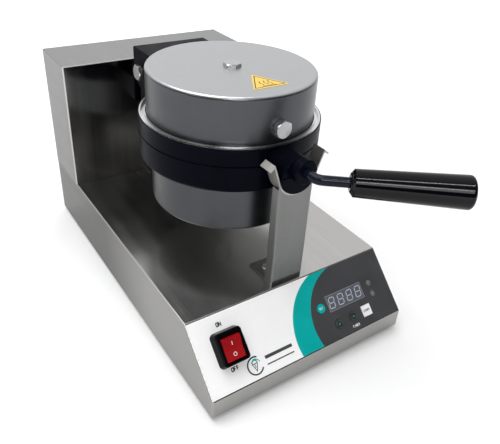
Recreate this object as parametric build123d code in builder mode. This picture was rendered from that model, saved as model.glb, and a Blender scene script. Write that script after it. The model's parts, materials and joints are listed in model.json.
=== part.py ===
from build123d import *
from math import asin, cos, degrees, hypot, radians, sin
import os

os.makedirs("parts", exist_ok=True)

# ---------------------------------------------------------------- driving dimensions, mm
# X is across the machine, Y runs from the front lip (0) to the back, Z is up from the shell's edge.
SHEET = 1.2

BASE_WIDTH = 250.0
BASE_DEPTH = 431.5
BASE_HEIGHT = 75.0
LIP_HEIGHT = 21.3
SLOPE_RUN = 56.6
FOLD = 1.5
PLATE_SHEET = 1.5
PLATE_RISE = 2.0
FOOT_HEIGHT = 5.0
FOOT_RADIUS = 10.0
FOOT_SPOTS = [(x, y) for x in (-103, 103) for y in (26, BASE_DEPTH - 24)]
POST_SCREW_SPOTS = ((-9, 86), (9, 86))
CABLE_OPENING = (90, 36)

TOWER_DEPTH = 79.0
TOWER_HEIGHT = 158.0
SEAM = 3.0

IRON_Y = 184.0
SPLIT_Z = 204.5
SPLIT_GAP = 0.15
RING_RADIUS = 98.0
PLATE_RADIUS = 80.0
LID_CAN_RADIUS = 89.6
LID_TOP_Z = 271.3
LID_RIM_Z = 223.5
LOWER_CAN_RADIUS = 85.2
LOWER_RIM_Z = 176.0
LOWER_BOTTOM_Z = 123.2

HINGE_Y = 305.0
HINGE_Z = 232.5
HINGE_HALF_WIDTH = 47.5
HINGE_TOP = 24.5
BOLT_RADIUS = 5.0
BOLT_FLATS = 17.0
BOLT_FIT = 0.05

COLLAR_RADIUS = 21.0
COLLAR_FRONT = 58.0
HUB_RADIUS = 12.0
HUB_Z = 211.0
HUB_FRONT = 49.0
ROD_RADIUS = 5.0
ROD_SOCKET = 16.0
BEND_RADIUS = 12.0
GRIP_BORE = 70.0
BEND_Y = 35.0
HANDLE_ANGLE = 37.4
GRIP_START = 31.5
GRIP_LENGTH = 109.5
GRIP_INNER_RADIUS = 13.2
GRIP_OUTER_RADIUS = 16.2

POST_HALF_WIDTH = 20.5
POST_FRONT = 61.0
POST_DEPTH = 11.0
POST_SHEET = 2.0
SADDLE_SHEET = 1.5
SADDLE_GAP = 0.4

SHAFT_RADIUS = 12.0
SHAFT_BORE = 7.0
SHAFT_FIT = 0.05
PRESS_FIT = 0.02

SWITCH_X = -90.0
SWITCH_S = 41.6
DISPLAY_X = 60.4
DISPLAY_S = 39.4
DISPLAY_SIZE = (51.2, 18.4)
DISPLAY_FIT = 0.2
SWITCH_HOLE = (24.4, 28.8)
LAMPS = ((97.8, 43.0), (97.8, 30.5))
LAMP_RADIUS = 2.0
SET_KEY = (25.3, 38.5)
UP_KEY = (40.1, 15.5)
DOWN_KEY = (61.1, 16.4)
START_KEY = (80.8, 16.4)
START_SIZE = (12.4, 12.0)
KEY_RADIUS = 5.0
KEY_GAP = 0.4
KEY_TRAVEL = 0.5
KEY_FLANGE = 1.2
KEY_PROUD = 0.6
FILM = 0.3

GLAND_X = -70.0
GLAND_Z = 36.0
GLAND_BORE = 4.0
GLAND_THREAD = 8.0

# ---------------------------------------------------------------- derived places
slope_rise = BASE_HEIGHT - LIP_HEIGHT
slope_length = hypot(SLOPE_RUN, slope_rise)
tower_front = BASE_DEPTH - TOWER_DEPTH
tower_top = BASE_HEIGHT + TOWER_HEIGHT
panel = Plane(origin=(0, 0, LIP_HEIGHT), x_dir=(1, 0, 0), z_dir=(0, -slope_rise, SLOPE_RUN))
iron_section = Plane.XZ.offset(-IRON_Y)
across = Plane.YZ
plate_top = PLATE_RISE + PLATE_SHEET
pieces = []


def finish(builder, name):
    """Name a finished piece and keep it for export."""
    builder.part.label = name
    pieces.append(builder.part)


def behind(y):
    """An upright plane facing the back, whose sketch X is world -X and whose sketch Y is world Z."""
    return Plane(origin=(0, y, 0), x_dir=(-1, 0, 0), z_dir=(0, 1, 0))


def facing_front(x, y, z):
    """An upright plane facing the front, whose sketch X is world X and whose sketch Y is world Z."""
    return Plane(origin=(x, y, z), x_dir=(1, 0, 0), z_dir=(0, -1, 0))


def shaft_at(y):
    """The plane across the turning shaft's axis."""
    return facing_front(0, y, SPLIT_Z)


def rod_at(y):
    """The plane across the handle rod's axis."""
    return facing_front(0, y, HUB_Z)


def iron_at(z):
    """The level plane at the middle of the baking plates."""
    return Plane(origin=(0, IRON_Y, z), x_dir=(1, 0, 0), z_dir=(0, 0, 1))


def on_panel(x, y):
    """The sloping panel's plane, with its origin at one of the controls."""
    return Plane(panel.from_local_coords((x, y, 0)), panel.x_dir, panel.z_dir)


def switch_opening(mode):
    """The hole that the power switch drops into."""
    with Locations((SWITCH_X, SWITCH_S)):
        Rectangle(*SWITCH_HOLE, mode=mode)


def control_openings(mode, fit):
    """The holes for the display, the two lamps and the four keys."""
    with Locations((DISPLAY_X, DISPLAY_S)):
        Rectangle(DISPLAY_SIZE[0] + fit, DISPLAY_SIZE[1] + fit, mode=mode)
    with Locations(*LAMPS):
        Circle(LAMP_RADIUS + fit, mode=mode)
    with Locations(SET_KEY, UP_KEY, DOWN_KEY):
        Circle(KEY_RADIUS + KEY_GAP, mode=mode)
    with Locations(START_KEY):
        Rectangle(START_SIZE[0] + 2 * KEY_GAP, START_SIZE[1] + 2 * KEY_GAP, mode=mode)


# ---------------------------------------------------------------- base
with BuildPart() as base_shell:
    with BuildSketch(across.offset(-BASE_WIDTH / 2)):
        with BuildLine():
            Polyline(
                (0, 0),
                (0, LIP_HEIGHT),
                (SLOPE_RUN, BASE_HEIGHT),
                (BASE_DEPTH, BASE_HEIGHT),
                (BASE_DEPTH, 0),
                close=True,
            )
        make_face()
    extrude(amount=BASE_WIDTH)
    underside = base_shell.faces().sort_by(Axis.Z)[0]
    rims = underside.edges()
    fillet([e for e in base_shell.edges() if e not in rims], radius=FOLD)
    offset(amount=-SHEET, openings=base_shell.faces().sort_by(Axis.Z)[0])
    with BuildSketch(panel):
        switch_opening(Mode.ADD)
        control_openings(Mode.ADD, DISPLAY_FIT)
    extrude(amount=-2 * SHEET, mode=Mode.SUBTRACT)
    # cable opening under the tower, holes for the post screws, and the hole for the cord gland
    with BuildSketch(Plane.XY.offset(BASE_HEIGHT)):
        with Locations((0, BASE_DEPTH - 34)):
            Rectangle(*CABLE_OPENING)
        with Locations(*POST_SCREW_SPOTS):
            Circle(2.6)
    extrude(amount=-2 * SHEET, mode=Mode.SUBTRACT)
    with BuildSketch(behind(BASE_DEPTH)):
        with Locations((-GLAND_X, GLAND_Z)):
            Circle(GLAND_THREAD + 0.2)
    extrude(amount=-2 * SHEET, mode=Mode.SUBTRACT)
finish(base_shell, "base_shell")

with BuildPart() as bottom_plate:
    with BuildSketch(Plane.XY.offset(PLATE_RISE)):
        with Locations((0, BASE_DEPTH / 2)):
            Rectangle(BASE_WIDTH - 2 * SHEET - 0.4, BASE_DEPTH - 2 * SHEET - 0.4)
    extrude(amount=PLATE_SHEET)
    with BuildSketch(Plane.XY.offset(PLATE_RISE)):
        with Locations((0, 150)):
            with GridLocations(14, 0, 9, 1):
                SlotOverall(60, 4, rotation=90)
        with Locations(*FOOT_SPOTS):
            Circle(2.6)
    extrude(amount=PLATE_SHEET, mode=Mode.SUBTRACT)
finish(bottom_plate, "bottom_plate")

FOOT_RECESS = 3.4
FOOT_RECESS_RADIUS = 5.4
with BuildPart() as rubber_feet:
    with BuildSketch(Plane.XY.offset(-FOOT_HEIGHT)):
        with Locations(*FOOT_SPOTS):
            Circle(FOOT_RADIUS)
    extrude(amount=FOOT_HEIGHT + PLATE_RISE, taper=-4)
    with BuildSketch(Plane.XY.offset(-FOOT_HEIGHT)):
        with Locations(*FOOT_SPOTS):
            Circle(FOOT_RECESS_RADIUS)
    extrude(amount=FOOT_RECESS, mode=Mode.SUBTRACT)
    with BuildSketch(Plane.XY.offset(-FOOT_HEIGHT)):
        with Locations(*FOOT_SPOTS):
            Circle(2.6)
    extrude(amount=FOOT_HEIGHT + PLATE_RISE, mode=Mode.SUBTRACT)
finish(rubber_feet, "rubber_feet")

with BuildPart() as foot_screws:
    with BuildSketch(Plane.XY.offset(FOOT_RECESS - FOOT_HEIGHT)):
        with Locations(*FOOT_SPOTS):
            Circle(2.5)
    extrude(amount=11)
    with BuildSketch(Plane.XY.offset(FOOT_RECESS - FOOT_HEIGHT - 2.5)):
        with Locations(*FOOT_SPOTS):
            Circle(4.8)
    extrude(amount=2.5)
finish(foot_screws, "foot_screws")

# ---------------------------------------------------------------- printed film on the sloping panel
film_half = BASE_WIDTH / 2 - FOLD
film_low = FOLD
film_high = slope_length - FOLD

# the coloured band's two curved edges, each an arc through three points of the panel
outer_band = ((-15.9, film_low), (-10.3, 43.8), (27.0, film_high))
inner_band = ((12.3, film_low), (17.2, 50.5), (53.5, film_high))

with BuildPart() as panel_film_white:
    with BuildSketch(panel):
        with BuildLine():
            edge = ThreePointArc(*outer_band)
            Polyline(edge @ 1, (-film_half, film_high), (-film_half, film_low), edge @ 0)
        make_face()
        switch_opening(Mode.SUBTRACT)
    extrude(amount=FILM)
finish(panel_film_white, "panel_film_white")

with BuildPart() as panel_film_teal:
    with BuildSketch(panel):
        with BuildLine():
            left = ThreePointArc(*outer_band)
            right = ThreePointArc(*inner_band)
            Line(left @ 1, right @ 1)
            Line(left @ 0, right @ 0)
        make_face()
    extrude(amount=FILM)
finish(panel_film_teal, "panel_film_teal")

with BuildPart() as panel_film_grey:
    with BuildSketch(panel):
        with BuildLine():
            edge = ThreePointArc(*inner_band)
            Polyline(edge @ 1, (film_half, film_high), (film_half, film_low), edge @ 0)
        make_face()
        control_openings(Mode.SUBTRACT, DISPLAY_FIT)
    extrude(amount=FILM)
finish(panel_film_grey, "panel_film_grey")

# ---------------------------------------------------------------- controls behind and through the panel
BEZEL = (32.0, 35.5)
BEZEL_HEIGHT = 11.0
WELL = (21.4, 25.8)
WELL_FLOOR = -1.0
PIVOT_HEIGHT = 6.0
ROCKER_DROP = 1.2
ROCKER_TILT = 8.0
ROCKER_REACH = 12.2
ROCKER_HALF_WIDTH = 10.2

HOUSING_DEPTH = 22.0
HOUSING_SIZE = (24.0, 28.4)
STUB_RADIUS = 1.0
STUB_HALF_LENGTH = 11.6

switch_face = on_panel(SWITCH_X, SWITCH_S)
rocker_face = on_panel(SWITCH_X, SWITCH_S - ROCKER_DROP)
with BuildPart() as switch_housing:
    with BuildSketch(switch_face.offset(FILM)):
        RectangleRounded(*BEZEL, 5)
    extrude(amount=BEZEL_HEIGHT - FILM, taper=8)
    top_rim = switch_housing.faces().sort_by(Axis(panel.origin, panel.z_dir))[-1].edges()
    fillet(top_rim, radius=1.6)
    with BuildSketch(switch_face.offset(FILM)):
        Rectangle(*HOUSING_SIZE)
    extrude(amount=-HOUSING_DEPTH)
    with BuildSketch(rocker_face.offset(BEZEL_HEIGHT)):
        RectangleRounded(*WELL, 2)
    extrude(amount=WELL_FLOOR - BEZEL_HEIGHT, mode=Mode.SUBTRACT)
    # pivot holes for the rocker's stub pins, and three blade terminals
    with Locations(rocker_face.offset(PIVOT_HEIGHT)):
        Cylinder(STUB_RADIUS + 0.05, 2 * STUB_HALF_LENGTH + 0.4, rotation=(0, 90, 0), mode=Mode.SUBTRACT)
    with BuildSketch(switch_face.offset(1 - HOUSING_DEPTH)):
        with GridLocations(0, 8.5, 1, 3):
            Rectangle(6.3, 0.8)
    extrude(amount=-9)
finish(switch_housing, "switch_housing")

tilt = radians(ROCKER_TILT)
rocker_side = Plane(
    rocker_face.from_local_coords((0, 0, PIVOT_HEIGHT)),
    x_dir=panel.y_dir * cos(tilt) + panel.z_dir * sin(tilt),
    z_dir=panel.x_dir,
)
with BuildPart() as switch_rocker:
    with BuildSketch(rocker_side.offset(-ROCKER_HALF_WIDTH)):
        Circle(ROCKER_REACH)
        rise = ROCKER_REACH * sin(tilt)
        with BuildLine():
            Polyline(
                (-ROCKER_REACH, 4.2 + rise),
                (0, 4.2),
                (ROCKER_REACH, 4.2 + rise),
                (ROCKER_REACH, -2.4),
                (-ROCKER_REACH, -2.4),
                close=True,
            )
        make_face(mode=Mode.INTERSECT)
    extrude(amount=2 * ROCKER_HALF_WIDTH)
    with BuildSketch(rocker_side.offset(-STUB_HALF_LENGTH)):
        Circle(STUB_RADIUS)
    extrude(amount=2 * STUB_HALF_LENGTH)
finish(switch_rocker, "switch_rocker")


def key_cap(outline, spot, name):
    """A flat key: its face stands just proud of the film and a flange behind the sheet holds it in."""
    place = on_panel(*spot)
    with BuildPart() as key:
        with BuildSketch(place.offset(-SHEET - KEY_FLANGE)):
            outline()
        extrude(amount=SHEET + KEY_FLANGE + FILM + KEY_PROUD)
        with BuildSketch(place.offset(-SHEET - KEY_FLANGE)):
            outline()
            offset(amount=KEY_FLANGE, kind=Kind.INTERSECTION)
        extrude(amount=-KEY_FLANGE)
    finish(key, name)


key_cap(lambda: Circle(KEY_RADIUS), SET_KEY, "set_key")
key_cap(lambda: Circle(KEY_RADIUS), UP_KEY, "up_key")
key_cap(lambda: Circle(KEY_RADIUS), DOWN_KEY, "down_key")
key_cap(lambda: Rectangle(*START_SIZE), START_KEY, "start_key")

BOARD_DEPTH = 11.5
BOARD_SIZE = (96, 46)
BOARD_SPOT = (62, 28)
BOARD_HOLES = (88, 38)
TACT_HEIGHT = 3.5
with BuildPart() as display_module:
    with BuildSketch(panel.offset(FILM)):
        with Locations((DISPLAY_X, DISPLAY_S)):
            Rectangle(*DISPLAY_SIZE)
    extrude(amount=-FILM - BOARD_DEPTH)
finish(display_module, "display_module")

with BuildPart() as status_lamps:
    with BuildSketch(panel.offset(-BOARD_DEPTH)):
        with Locations(*LAMPS):
            Circle(LAMP_RADIUS)
    extrude(amount=BOARD_DEPTH + FILM + 0.8)
    fillet(status_lamps.edges().group_by(Axis(panel.origin, panel.z_dir))[-1], radius=0.9)
finish(status_lamps, "status_lamps")

with BuildPart() as key_switches:
    with BuildSketch(panel.offset(-BOARD_DEPTH)):
        with Locations(SET_KEY, UP_KEY, DOWN_KEY, START_KEY):
            Rectangle(6, 6)
    extrude(amount=TACT_HEIGHT)
    with BuildSketch(panel.offset(TACT_HEIGHT - BOARD_DEPTH)):
        with Locations(SET_KEY, UP_KEY, DOWN_KEY, START_KEY):
            Circle(1.7)
    extrude(amount=BOARD_DEPTH - TACT_HEIGHT - SHEET - 2 * KEY_FLANGE - KEY_TRAVEL - 0.1)
finish(key_switches, "key_switches")

with BuildPart() as control_board:
    with BuildSketch(panel.offset(-BOARD_DEPTH)):
        with Locations(BOARD_SPOT):
            Rectangle(*BOARD_SIZE)
            with GridLocations(*BOARD_HOLES, 2, 2):
                Circle(1.6, mode=Mode.SUBTRACT)
    extrude(amount=-1.6)
finish(control_board, "control_board")

with BuildPart() as board_standoffs:
    with BuildSketch(panel.offset(-SHEET)):
        with Locations(BOARD_SPOT):
            with GridLocations(*BOARD_HOLES, 2, 2):
                RegularPolygon(3, 6)
    extrude(amount=SHEET - BOARD_DEPTH)
finish(board_standoffs, "board_standoffs")

with BuildPart() as power_relay:
    with BuildSketch(Plane.XY.offset(plate_top)):
        with Locations((-70, 180)):
            RectangleRounded(44, 58, 3)
    extrude(amount=26)
finish(power_relay, "power_relay")

with BuildPart() as control_transformer:
    with BuildSketch(Plane.XY.offset(plate_top)):
        with Locations((70, 180)):
            Rectangle(46, 38)
    extrude(amount=34)
    with BuildSketch(Plane.XY.offset(11)):
        with Locations((70, 180)):
            RectangleRounded(34, 54, 4)
    extrude(amount=19)
finish(control_transformer, "control_transformer")

TERMINAL_HEIGHT = 20.0
with BuildPart() as terminal_block:
    with BuildSketch(Plane.XY.offset(plate_top)):
        with Locations((-70, 330)):
            Rectangle(60, 22)
    extrude(amount=TERMINAL_HEIGHT)
    with BuildSketch(Plane.XY.offset(plate_top + TERMINAL_HEIGHT)):
        with Locations((-70, 330)):
            with GridLocations(11, 12, 5, 2):
                Circle(2.5)
    extrude(amount=-9, mode=Mode.SUBTRACT)
finish(terminal_block, "terminal_block")

GLAND_COLLAR = 6.0
GLAND_CAP = 7.0
GLAND_TAIL = 14.0
with BuildPart() as cord_gland:
    with BuildSketch(behind(BASE_DEPTH)):
        with Locations((-GLAND_X, GLAND_Z)):
            RegularPolygon(11, 6, major_radius=False)
    extrude(amount=GLAND_COLLAR)
    with BuildSketch(behind(BASE_DEPTH + GLAND_COLLAR)):
        with Locations((-GLAND_X, GLAND_Z)):
            Circle(GLAND_THREAD + 1)
    extrude(amount=GLAND_CAP, taper=12)
    with BuildSketch(behind(BASE_DEPTH)):
        with Locations((-GLAND_X, GLAND_Z)):
            Circle(GLAND_THREAD)
    extrude(amount=-GLAND_TAIL)
    with BuildSketch(behind(BASE_DEPTH - GLAND_TAIL)):
        with Locations((-GLAND_X, GLAND_Z)):
            Circle(GLAND_BORE)
    extrude(amount=GLAND_TAIL + GLAND_COLLAR + GLAND_CAP, mode=Mode.SUBTRACT)
finish(cord_gland, "cord_gland")

with BuildPart() as gland_nut:
    with BuildSketch(behind(BASE_DEPTH - SHEET)):
        with Locations((-GLAND_X, GLAND_Z)):
            RegularPolygon(11, 6, major_radius=False)
            Circle(GLAND_THREAD + 0.05, mode=Mode.SUBTRACT)
    extrude(amount=-5)
finish(gland_nut, "gland_nut")

# ---------------------------------------------------------------- front cradle
saddle_inner = COLLAR_RADIUS + SADDLE_GAP
SADDLE_LEAN = radians(20.0)
SADDLE_DEPTH = 16.0
LEFT_TOP_Z = 218.0
RIGHT_TOP_Z = 221.8
TAB_LENGTH = 6.6
TAB_DROP = radians(40.0)
POST_TOP_Z = 190.5
POST_FOOT_BACK = 100.5
POST_ROUND = 2.5
POST_FULL_HEIGHT = POST_TOP_Z + 8 - BASE_HEIGHT

with BuildPart() as cradle_post:
    with BuildSketch(Plane.XY.offset(BASE_HEIGHT)):
        with Locations((0, POST_FRONT + POST_DEPTH / 2)):
            Rectangle(2 * POST_HALF_WIDTH, POST_DEPTH)
    extrude(amount=POST_FULL_HEIGHT)
    fillet(cradle_post.edges().filter_by(Axis.Z).group_by(Axis.Y)[0], radius=POST_ROUND)
    with BuildSketch(Plane.XY.offset(BASE_HEIGHT)):
        with Locations((0, POST_FRONT + POST_SHEET + POST_DEPTH / 2)):
            Rectangle(2 * (POST_HALF_WIDTH - POST_SHEET), POST_DEPTH)
    extrude(amount=POST_FULL_HEIGHT, mode=Mode.SUBTRACT)
    # the notch that the saddle is welded into, and the flanges' lower tops
    with BuildSketch(shaft_at(POST_FRONT)):
        Circle(saddle_inner + SADDLE_SHEET)
        Rectangle(60, 20)
    extrude(amount=-POST_DEPTH, mode=Mode.SUBTRACT)
    with BuildSketch(Plane.XZ.offset(-POST_FRONT - POST_SHEET)):
        with Locations((0, POST_TOP_Z + 10)):
            Rectangle(60, 20)
    extrude(amount=-POST_DEPTH, mode=Mode.SUBTRACT)
    # foot tab folded back onto the base
    with BuildSketch(Plane.XY.offset(BASE_HEIGHT)):
        with Locations((0, POST_FOOT_BACK)):
            Rectangle(
                2 * POST_HALF_WIDTH,
                POST_FOOT_BACK - POST_FRONT - POST_ROUND,
                align=(Align.CENTER, Align.MAX),
            )
        with Locations(*POST_SCREW_SPOTS):
            Circle(2.6, mode=Mode.SUBTRACT)
    extrude(amount=POST_SHEET)
finish(cradle_post, "cradle_post")

with BuildPart() as cradle_saddle:
    middle = saddle_inner + SADDLE_SHEET / 2
    with BuildSketch(Plane.XZ.offset(-POST_FRONT)):
        with BuildLine():
            lean = degrees(SADDLE_LEAN)
            bowl = CenterArc((0, SPLIT_Z), middle, 180 + lean, 180 - 2 * lean)
            for side, end, top_z in ((-1, bowl @ 0, LEFT_TOP_Z), (1, bowl @ 1, RIGHT_TOP_Z)):
                wall = (top_z - end.Y) / cos(SADDLE_LEAN)
                top = (end.X + side * wall * sin(SADDLE_LEAN), top_z)
                tip = (top[0] + side * TAB_LENGTH * cos(TAB_DROP), top[1] - TAB_LENGTH * sin(TAB_DROP))
                Polyline((end.X, end.Y), top, tip)
        trace(line_width=SADDLE_SHEET)
    extrude(amount=-SADDLE_DEPTH)
finish(cradle_saddle, "cradle_saddle")

with BuildPart() as post_screws:
    with BuildSketch(Plane.XY.offset(BASE_HEIGHT + POST_SHEET)):
        with Locations(*POST_SCREW_SPOTS):
            Circle(4.6)
    extrude(amount=2.6)
    fillet(post_screws.edges().group_by(Axis.Z)[-1], radius=1.2)
    with BuildSketch(Plane.XY.offset(BASE_HEIGHT + POST_SHEET)):
        with Locations(*POST_SCREW_SPOTS):
            Circle(2.5)
    extrude(amount=-12)
finish(post_screws, "post_screws")

# ---------------------------------------------------------------- tower
HOLE_RADIUS = 24.5
with BuildPart() as tower_front_panel:
    with BuildSketch(Plane.XY.offset(BASE_HEIGHT)):
        with Locations((0, tower_front + SEAM / 2)):
            Rectangle(BASE_WIDTH, SEAM)
    extrude(amount=TOWER_HEIGHT)
    fillet(tower_front_panel.edges().group_by(Axis.Y)[0], radius=0.9)
    offset(amount=-SHEET, openings=tower_front_panel.faces().sort_by(Axis.Y)[-1])
    with BuildSketch(shaft_at(tower_front)):
        Circle(HOLE_RADIUS)
    extrude(amount=-2 * SHEET, mode=Mode.SUBTRACT)
finish(tower_front_panel, "tower_front_panel")

with BuildPart() as tower_cover:
    with BuildSketch(Plane.XY.offset(BASE_HEIGHT)):
        with Locations((0, (tower_front + SEAM + BASE_DEPTH) / 2)):
            Rectangle(BASE_WIDTH, TOWER_DEPTH - SEAM)
    extrude(amount=TOWER_HEIGHT)
    fillet(tower_cover.edges().filter_by(Axis.Y).group_by(Axis.Z)[-1], radius=FOLD)
    with BuildSketch(Plane.XY.offset(BASE_HEIGHT)):
        with Locations((0, (tower_front + SEAM + BASE_DEPTH) / 2)):
            Rectangle(BASE_WIDTH - 2 * SHEET, TOWER_DEPTH - SEAM)
    extrude(amount=TOWER_HEIGHT - SHEET, mode=Mode.SUBTRACT)
finish(tower_cover, "tower_cover")

back_screw_spots = [(x, z) for x in (-112, 112) for z in (BASE_HEIGHT + 14, tower_top - 14)]
back_width = BASE_WIDTH - 2 * SHEET - 0.4
back_height = TOWER_HEIGHT - SHEET - 0.2
back_middle = (0, BASE_HEIGHT + (TOWER_HEIGHT - SHEET) / 2)
back_face = BASE_DEPTH - 0.3
with BuildPart() as tower_back_panel:
    with BuildSketch(behind(back_face - SHEET)):
        with Locations(back_middle):
            Rectangle(back_width, back_height)
    extrude(amount=SHEET)
    with BuildSketch(behind(back_face - SHEET)):
        with Locations((0, BASE_HEIGHT + 96)):
            with GridLocations(12, 0, 11, 1):
                SlotOverall(50, 4, rotation=90)
        with Locations(*back_screw_spots):
            Circle(2.1)
    extrude(amount=SHEET, mode=Mode.SUBTRACT)
    # folded rails that the side sheets lie against
    with BuildSketch(behind(back_face - SHEET)):
        with Locations(back_middle):
            with GridLocations(back_width - SHEET, 0, 2, 1):
                Rectangle(SHEET, back_height)
    extrude(amount=-12)
finish(tower_back_panel, "tower_back_panel")

with BuildPart() as back_screws:
    with BuildSketch(behind(back_face)):
        with Locations(*back_screw_spots):
            Circle(3.6)
    extrude(amount=2)
    fillet(back_screws.edges().group_by(Axis.Y)[-1], radius=0.9)
    with BuildSketch(behind(back_face)):
        with Locations(*back_screw_spots):
            Circle(2.0)
    extrude(amount=-8)
finish(back_screws, "back_screws")

# ---------------------------------------------------------------- bearing inside the tower
BRACKET_Y = tower_front + 14
BRACKET_SHEET = 5.0
BRACKET_SIZE = (120.0, 152.0)
BRACKET_FOOT = 18.0
BRACKET_WINDOW = 44.0
HOUSING_RADIUS = 22.0
HOUSING_FRONT = tower_front + 2.5
HOUSING_BACK = tower_front + 46
BUSH_WALL = 2.5
FLANGE_RADIUS = 23.0
STOP_RADIUS = 32.0
STOP_PIN_RADIUS = 4.0
ARM_HALF_WIDTH = 5.5
ARM_THICKNESS = 6.0
STOP_CLEAR = 0.3
arm_y = HOUSING_BACK + 0.4
stop_angle = asin((STOP_PIN_RADIUS + ARM_HALF_WIDTH + STOP_CLEAR) / STOP_RADIUS)

with BuildPart() as bearing_bracket:
    with BuildSketch(facing_front(0, BRACKET_Y, BASE_HEIGHT)):
        Rectangle(BRACKET_SIZE[0], BRACKET_SIZE[1], align=(Align.CENTER, Align.MIN))
        with Locations((0, SPLIT_Z - BASE_HEIGHT)):
            Circle(HOUSING_RADIUS + 0.05, mode=Mode.SUBTRACT)
        with Locations((0, BRACKET_WINDOW)):
            RectangleRounded(BRACKET_WINDOW, BRACKET_WINDOW, 8, mode=Mode.SUBTRACT)
    extrude(amount=-BRACKET_SHEET)
    with BuildSketch(Plane.XY.offset(BASE_HEIGHT)):
        with Locations((0, BRACKET_Y)):
            Rectangle(BRACKET_SIZE[0], BRACKET_FOOT)
    extrude(amount=BRACKET_SHEET)
    # the two stop pins that the arm comes to rest on, half a turn apart
    with BuildSketch(shaft_at(BRACKET_Y)):
        for side in (-1, 1):
            with Locations((side * STOP_RADIUS * cos(stop_angle), STOP_RADIUS * sin(stop_angle))):
                Circle(STOP_PIN_RADIUS)
    extrude(amount=BRACKET_Y - arm_y - ARM_THICKNESS)
finish(bearing_bracket, "bearing_bracket")

with BuildPart() as bearing_housing:
    with BuildSketch(shaft_at(HOUSING_FRONT)):
        Circle(HOUSING_RADIUS)
        Circle(SHAFT_RADIUS + BUSH_WALL, mode=Mode.SUBTRACT)
    extrude(amount=HOUSING_FRONT - HOUSING_BACK)
finish(bearing_housing, "bearing_housing")

BUSH_LENGTH = 14.0
with BuildPart() as bearing_bushes:
    for front in (HOUSING_FRONT, HOUSING_BACK - BUSH_LENGTH):
        with BuildSketch(shaft_at(front)):
            Circle(SHAFT_RADIUS + BUSH_WALL)
            Circle(SHAFT_RADIUS + SHAFT_FIT, mode=Mode.SUBTRACT)
        extrude(amount=-BUSH_LENGTH)
finish(bearing_bushes, "bearing_bushes")

# ---------------------------------------------------------------- turning shaft
REAR_WALL_Y = 339.0
REAR_WALL = 6.0
SHAFT_FLANGE = 5.0
SHAFT_END = arm_y + ARM_THICKNESS + 9
SHAFT_BOLT_CIRCLE = 17.0
SHAFT_BOLT = 2.5
flange_y = REAR_WALL_Y + REAR_WALL

with BuildPart() as pivot_shaft:
    with BuildSketch(shaft_at(flange_y)):
        Circle(FLANGE_RADIUS)
        with PolarLocations(SHAFT_BOLT_CIRCLE, 4, 45):
            Circle(SHAFT_BOLT + 0.1, mode=Mode.SUBTRACT)
    extrude(amount=-SHAFT_FLANGE)
    with BuildSketch(shaft_at(flange_y)):
        Circle(SHAFT_RADIUS)
    extrude(amount=flange_y - SHAFT_END)
    with BuildSketch(shaft_at(flange_y)):
        Circle(SHAFT_BORE)
    extrude(amount=flange_y - SHAFT_END, mode=Mode.SUBTRACT)
finish(pivot_shaft, "pivot_shaft")

with BuildPart() as shaft_bolts:
    with BuildSketch(shaft_at(flange_y + SHAFT_FLANGE)):
        with PolarLocations(SHAFT_BOLT_CIRCLE, 4, 45):
            RegularPolygon(4, 6, major_radius=False)
    extrude(amount=-3)
    with BuildSketch(shaft_at(flange_y + SHAFT_FLANGE)):
        with PolarLocations(SHAFT_BOLT_CIRCLE, 4, 45):
            Circle(SHAFT_BOLT)
    extrude(amount=SHAFT_FLANGE + REAR_WALL)
finish(shaft_bolts, "shaft_bolts")

with BuildPart() as stop_arm:
    with BuildSketch(shaft_at(arm_y)):
        Circle(SHAFT_RADIUS + 6)
        Rectangle(STOP_RADIUS + 6, 2 * ARM_HALF_WIDTH, align=(Align.MAX, Align.CENTER))
        Circle(SHAFT_RADIUS + PRESS_FIT, mode=Mode.SUBTRACT)
    extrude(amount=-ARM_THICKNESS)
finish(stop_arm, "stop_arm")

with BuildPart() as shaft_nut:
    with BuildSketch(shaft_at(arm_y + ARM_THICKNESS)):
        RegularPolygon(17, 6, major_radius=False)
        Circle(SHAFT_RADIUS + PRESS_FIT, mode=Mode.SUBTRACT)
    extrude(amount=-7)
finish(shaft_nut, "shaft_nut")

# ---------------------------------------------------------------- castings
GROOVE_PITCH = 9.0
GROOVE_WIDTH = 3.0
GROOVE_DEPTH = 2.5
PLATE_THICKNESS = 11.0
COLLAR_CUT = RING_RADIUS - 0.6
RING_WALL = 1.05
TRIM_FLOOR_Z = 219.5
CAN_SEAT = 90.0
KNUCKLE_RADIUS = 16.0
KNUCKLE_HALF_WIDTH = 20.0
SLOT_GAP = 0.6
NECK_HALF = 12.0
EYE_GAP = 0.08
EYE_WALL = 2.5
RING_CHAMFER = 0.8
LOWER_ROUND = 4.0
LOWER_RIM_INNER = 86.2
COLLAR_CHAMFER = 1.2
COLLAR_BACK = IRON_Y - RING_RADIUS + 14
ARM_HALF = 34.0
ARM_BOTTOM_Z = 178.0
BOSS_RADIUS = 10.0
LOWER_BOSS = 8.0
UPPER_BOSS = 11.0
LUG_SIZE = (18, 14)
LUG_HEIGHT = 38.0
SIDE_BOLT_Z = 238.0
BLOCK_FRONT = HINGE_Y - 45
BLOCK_STEP = HINGE_Y - 22
upper_face = SPLIT_Z + SPLIT_GAP
lower_face = SPLIT_Z - SPLIT_GAP
upper_back = upper_face + PLATE_THICKNESS
lower_back = lower_face - PLATE_THICKNESS - 1.5
arm_front = IRON_Y + RING_RADIUS - 12


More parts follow.
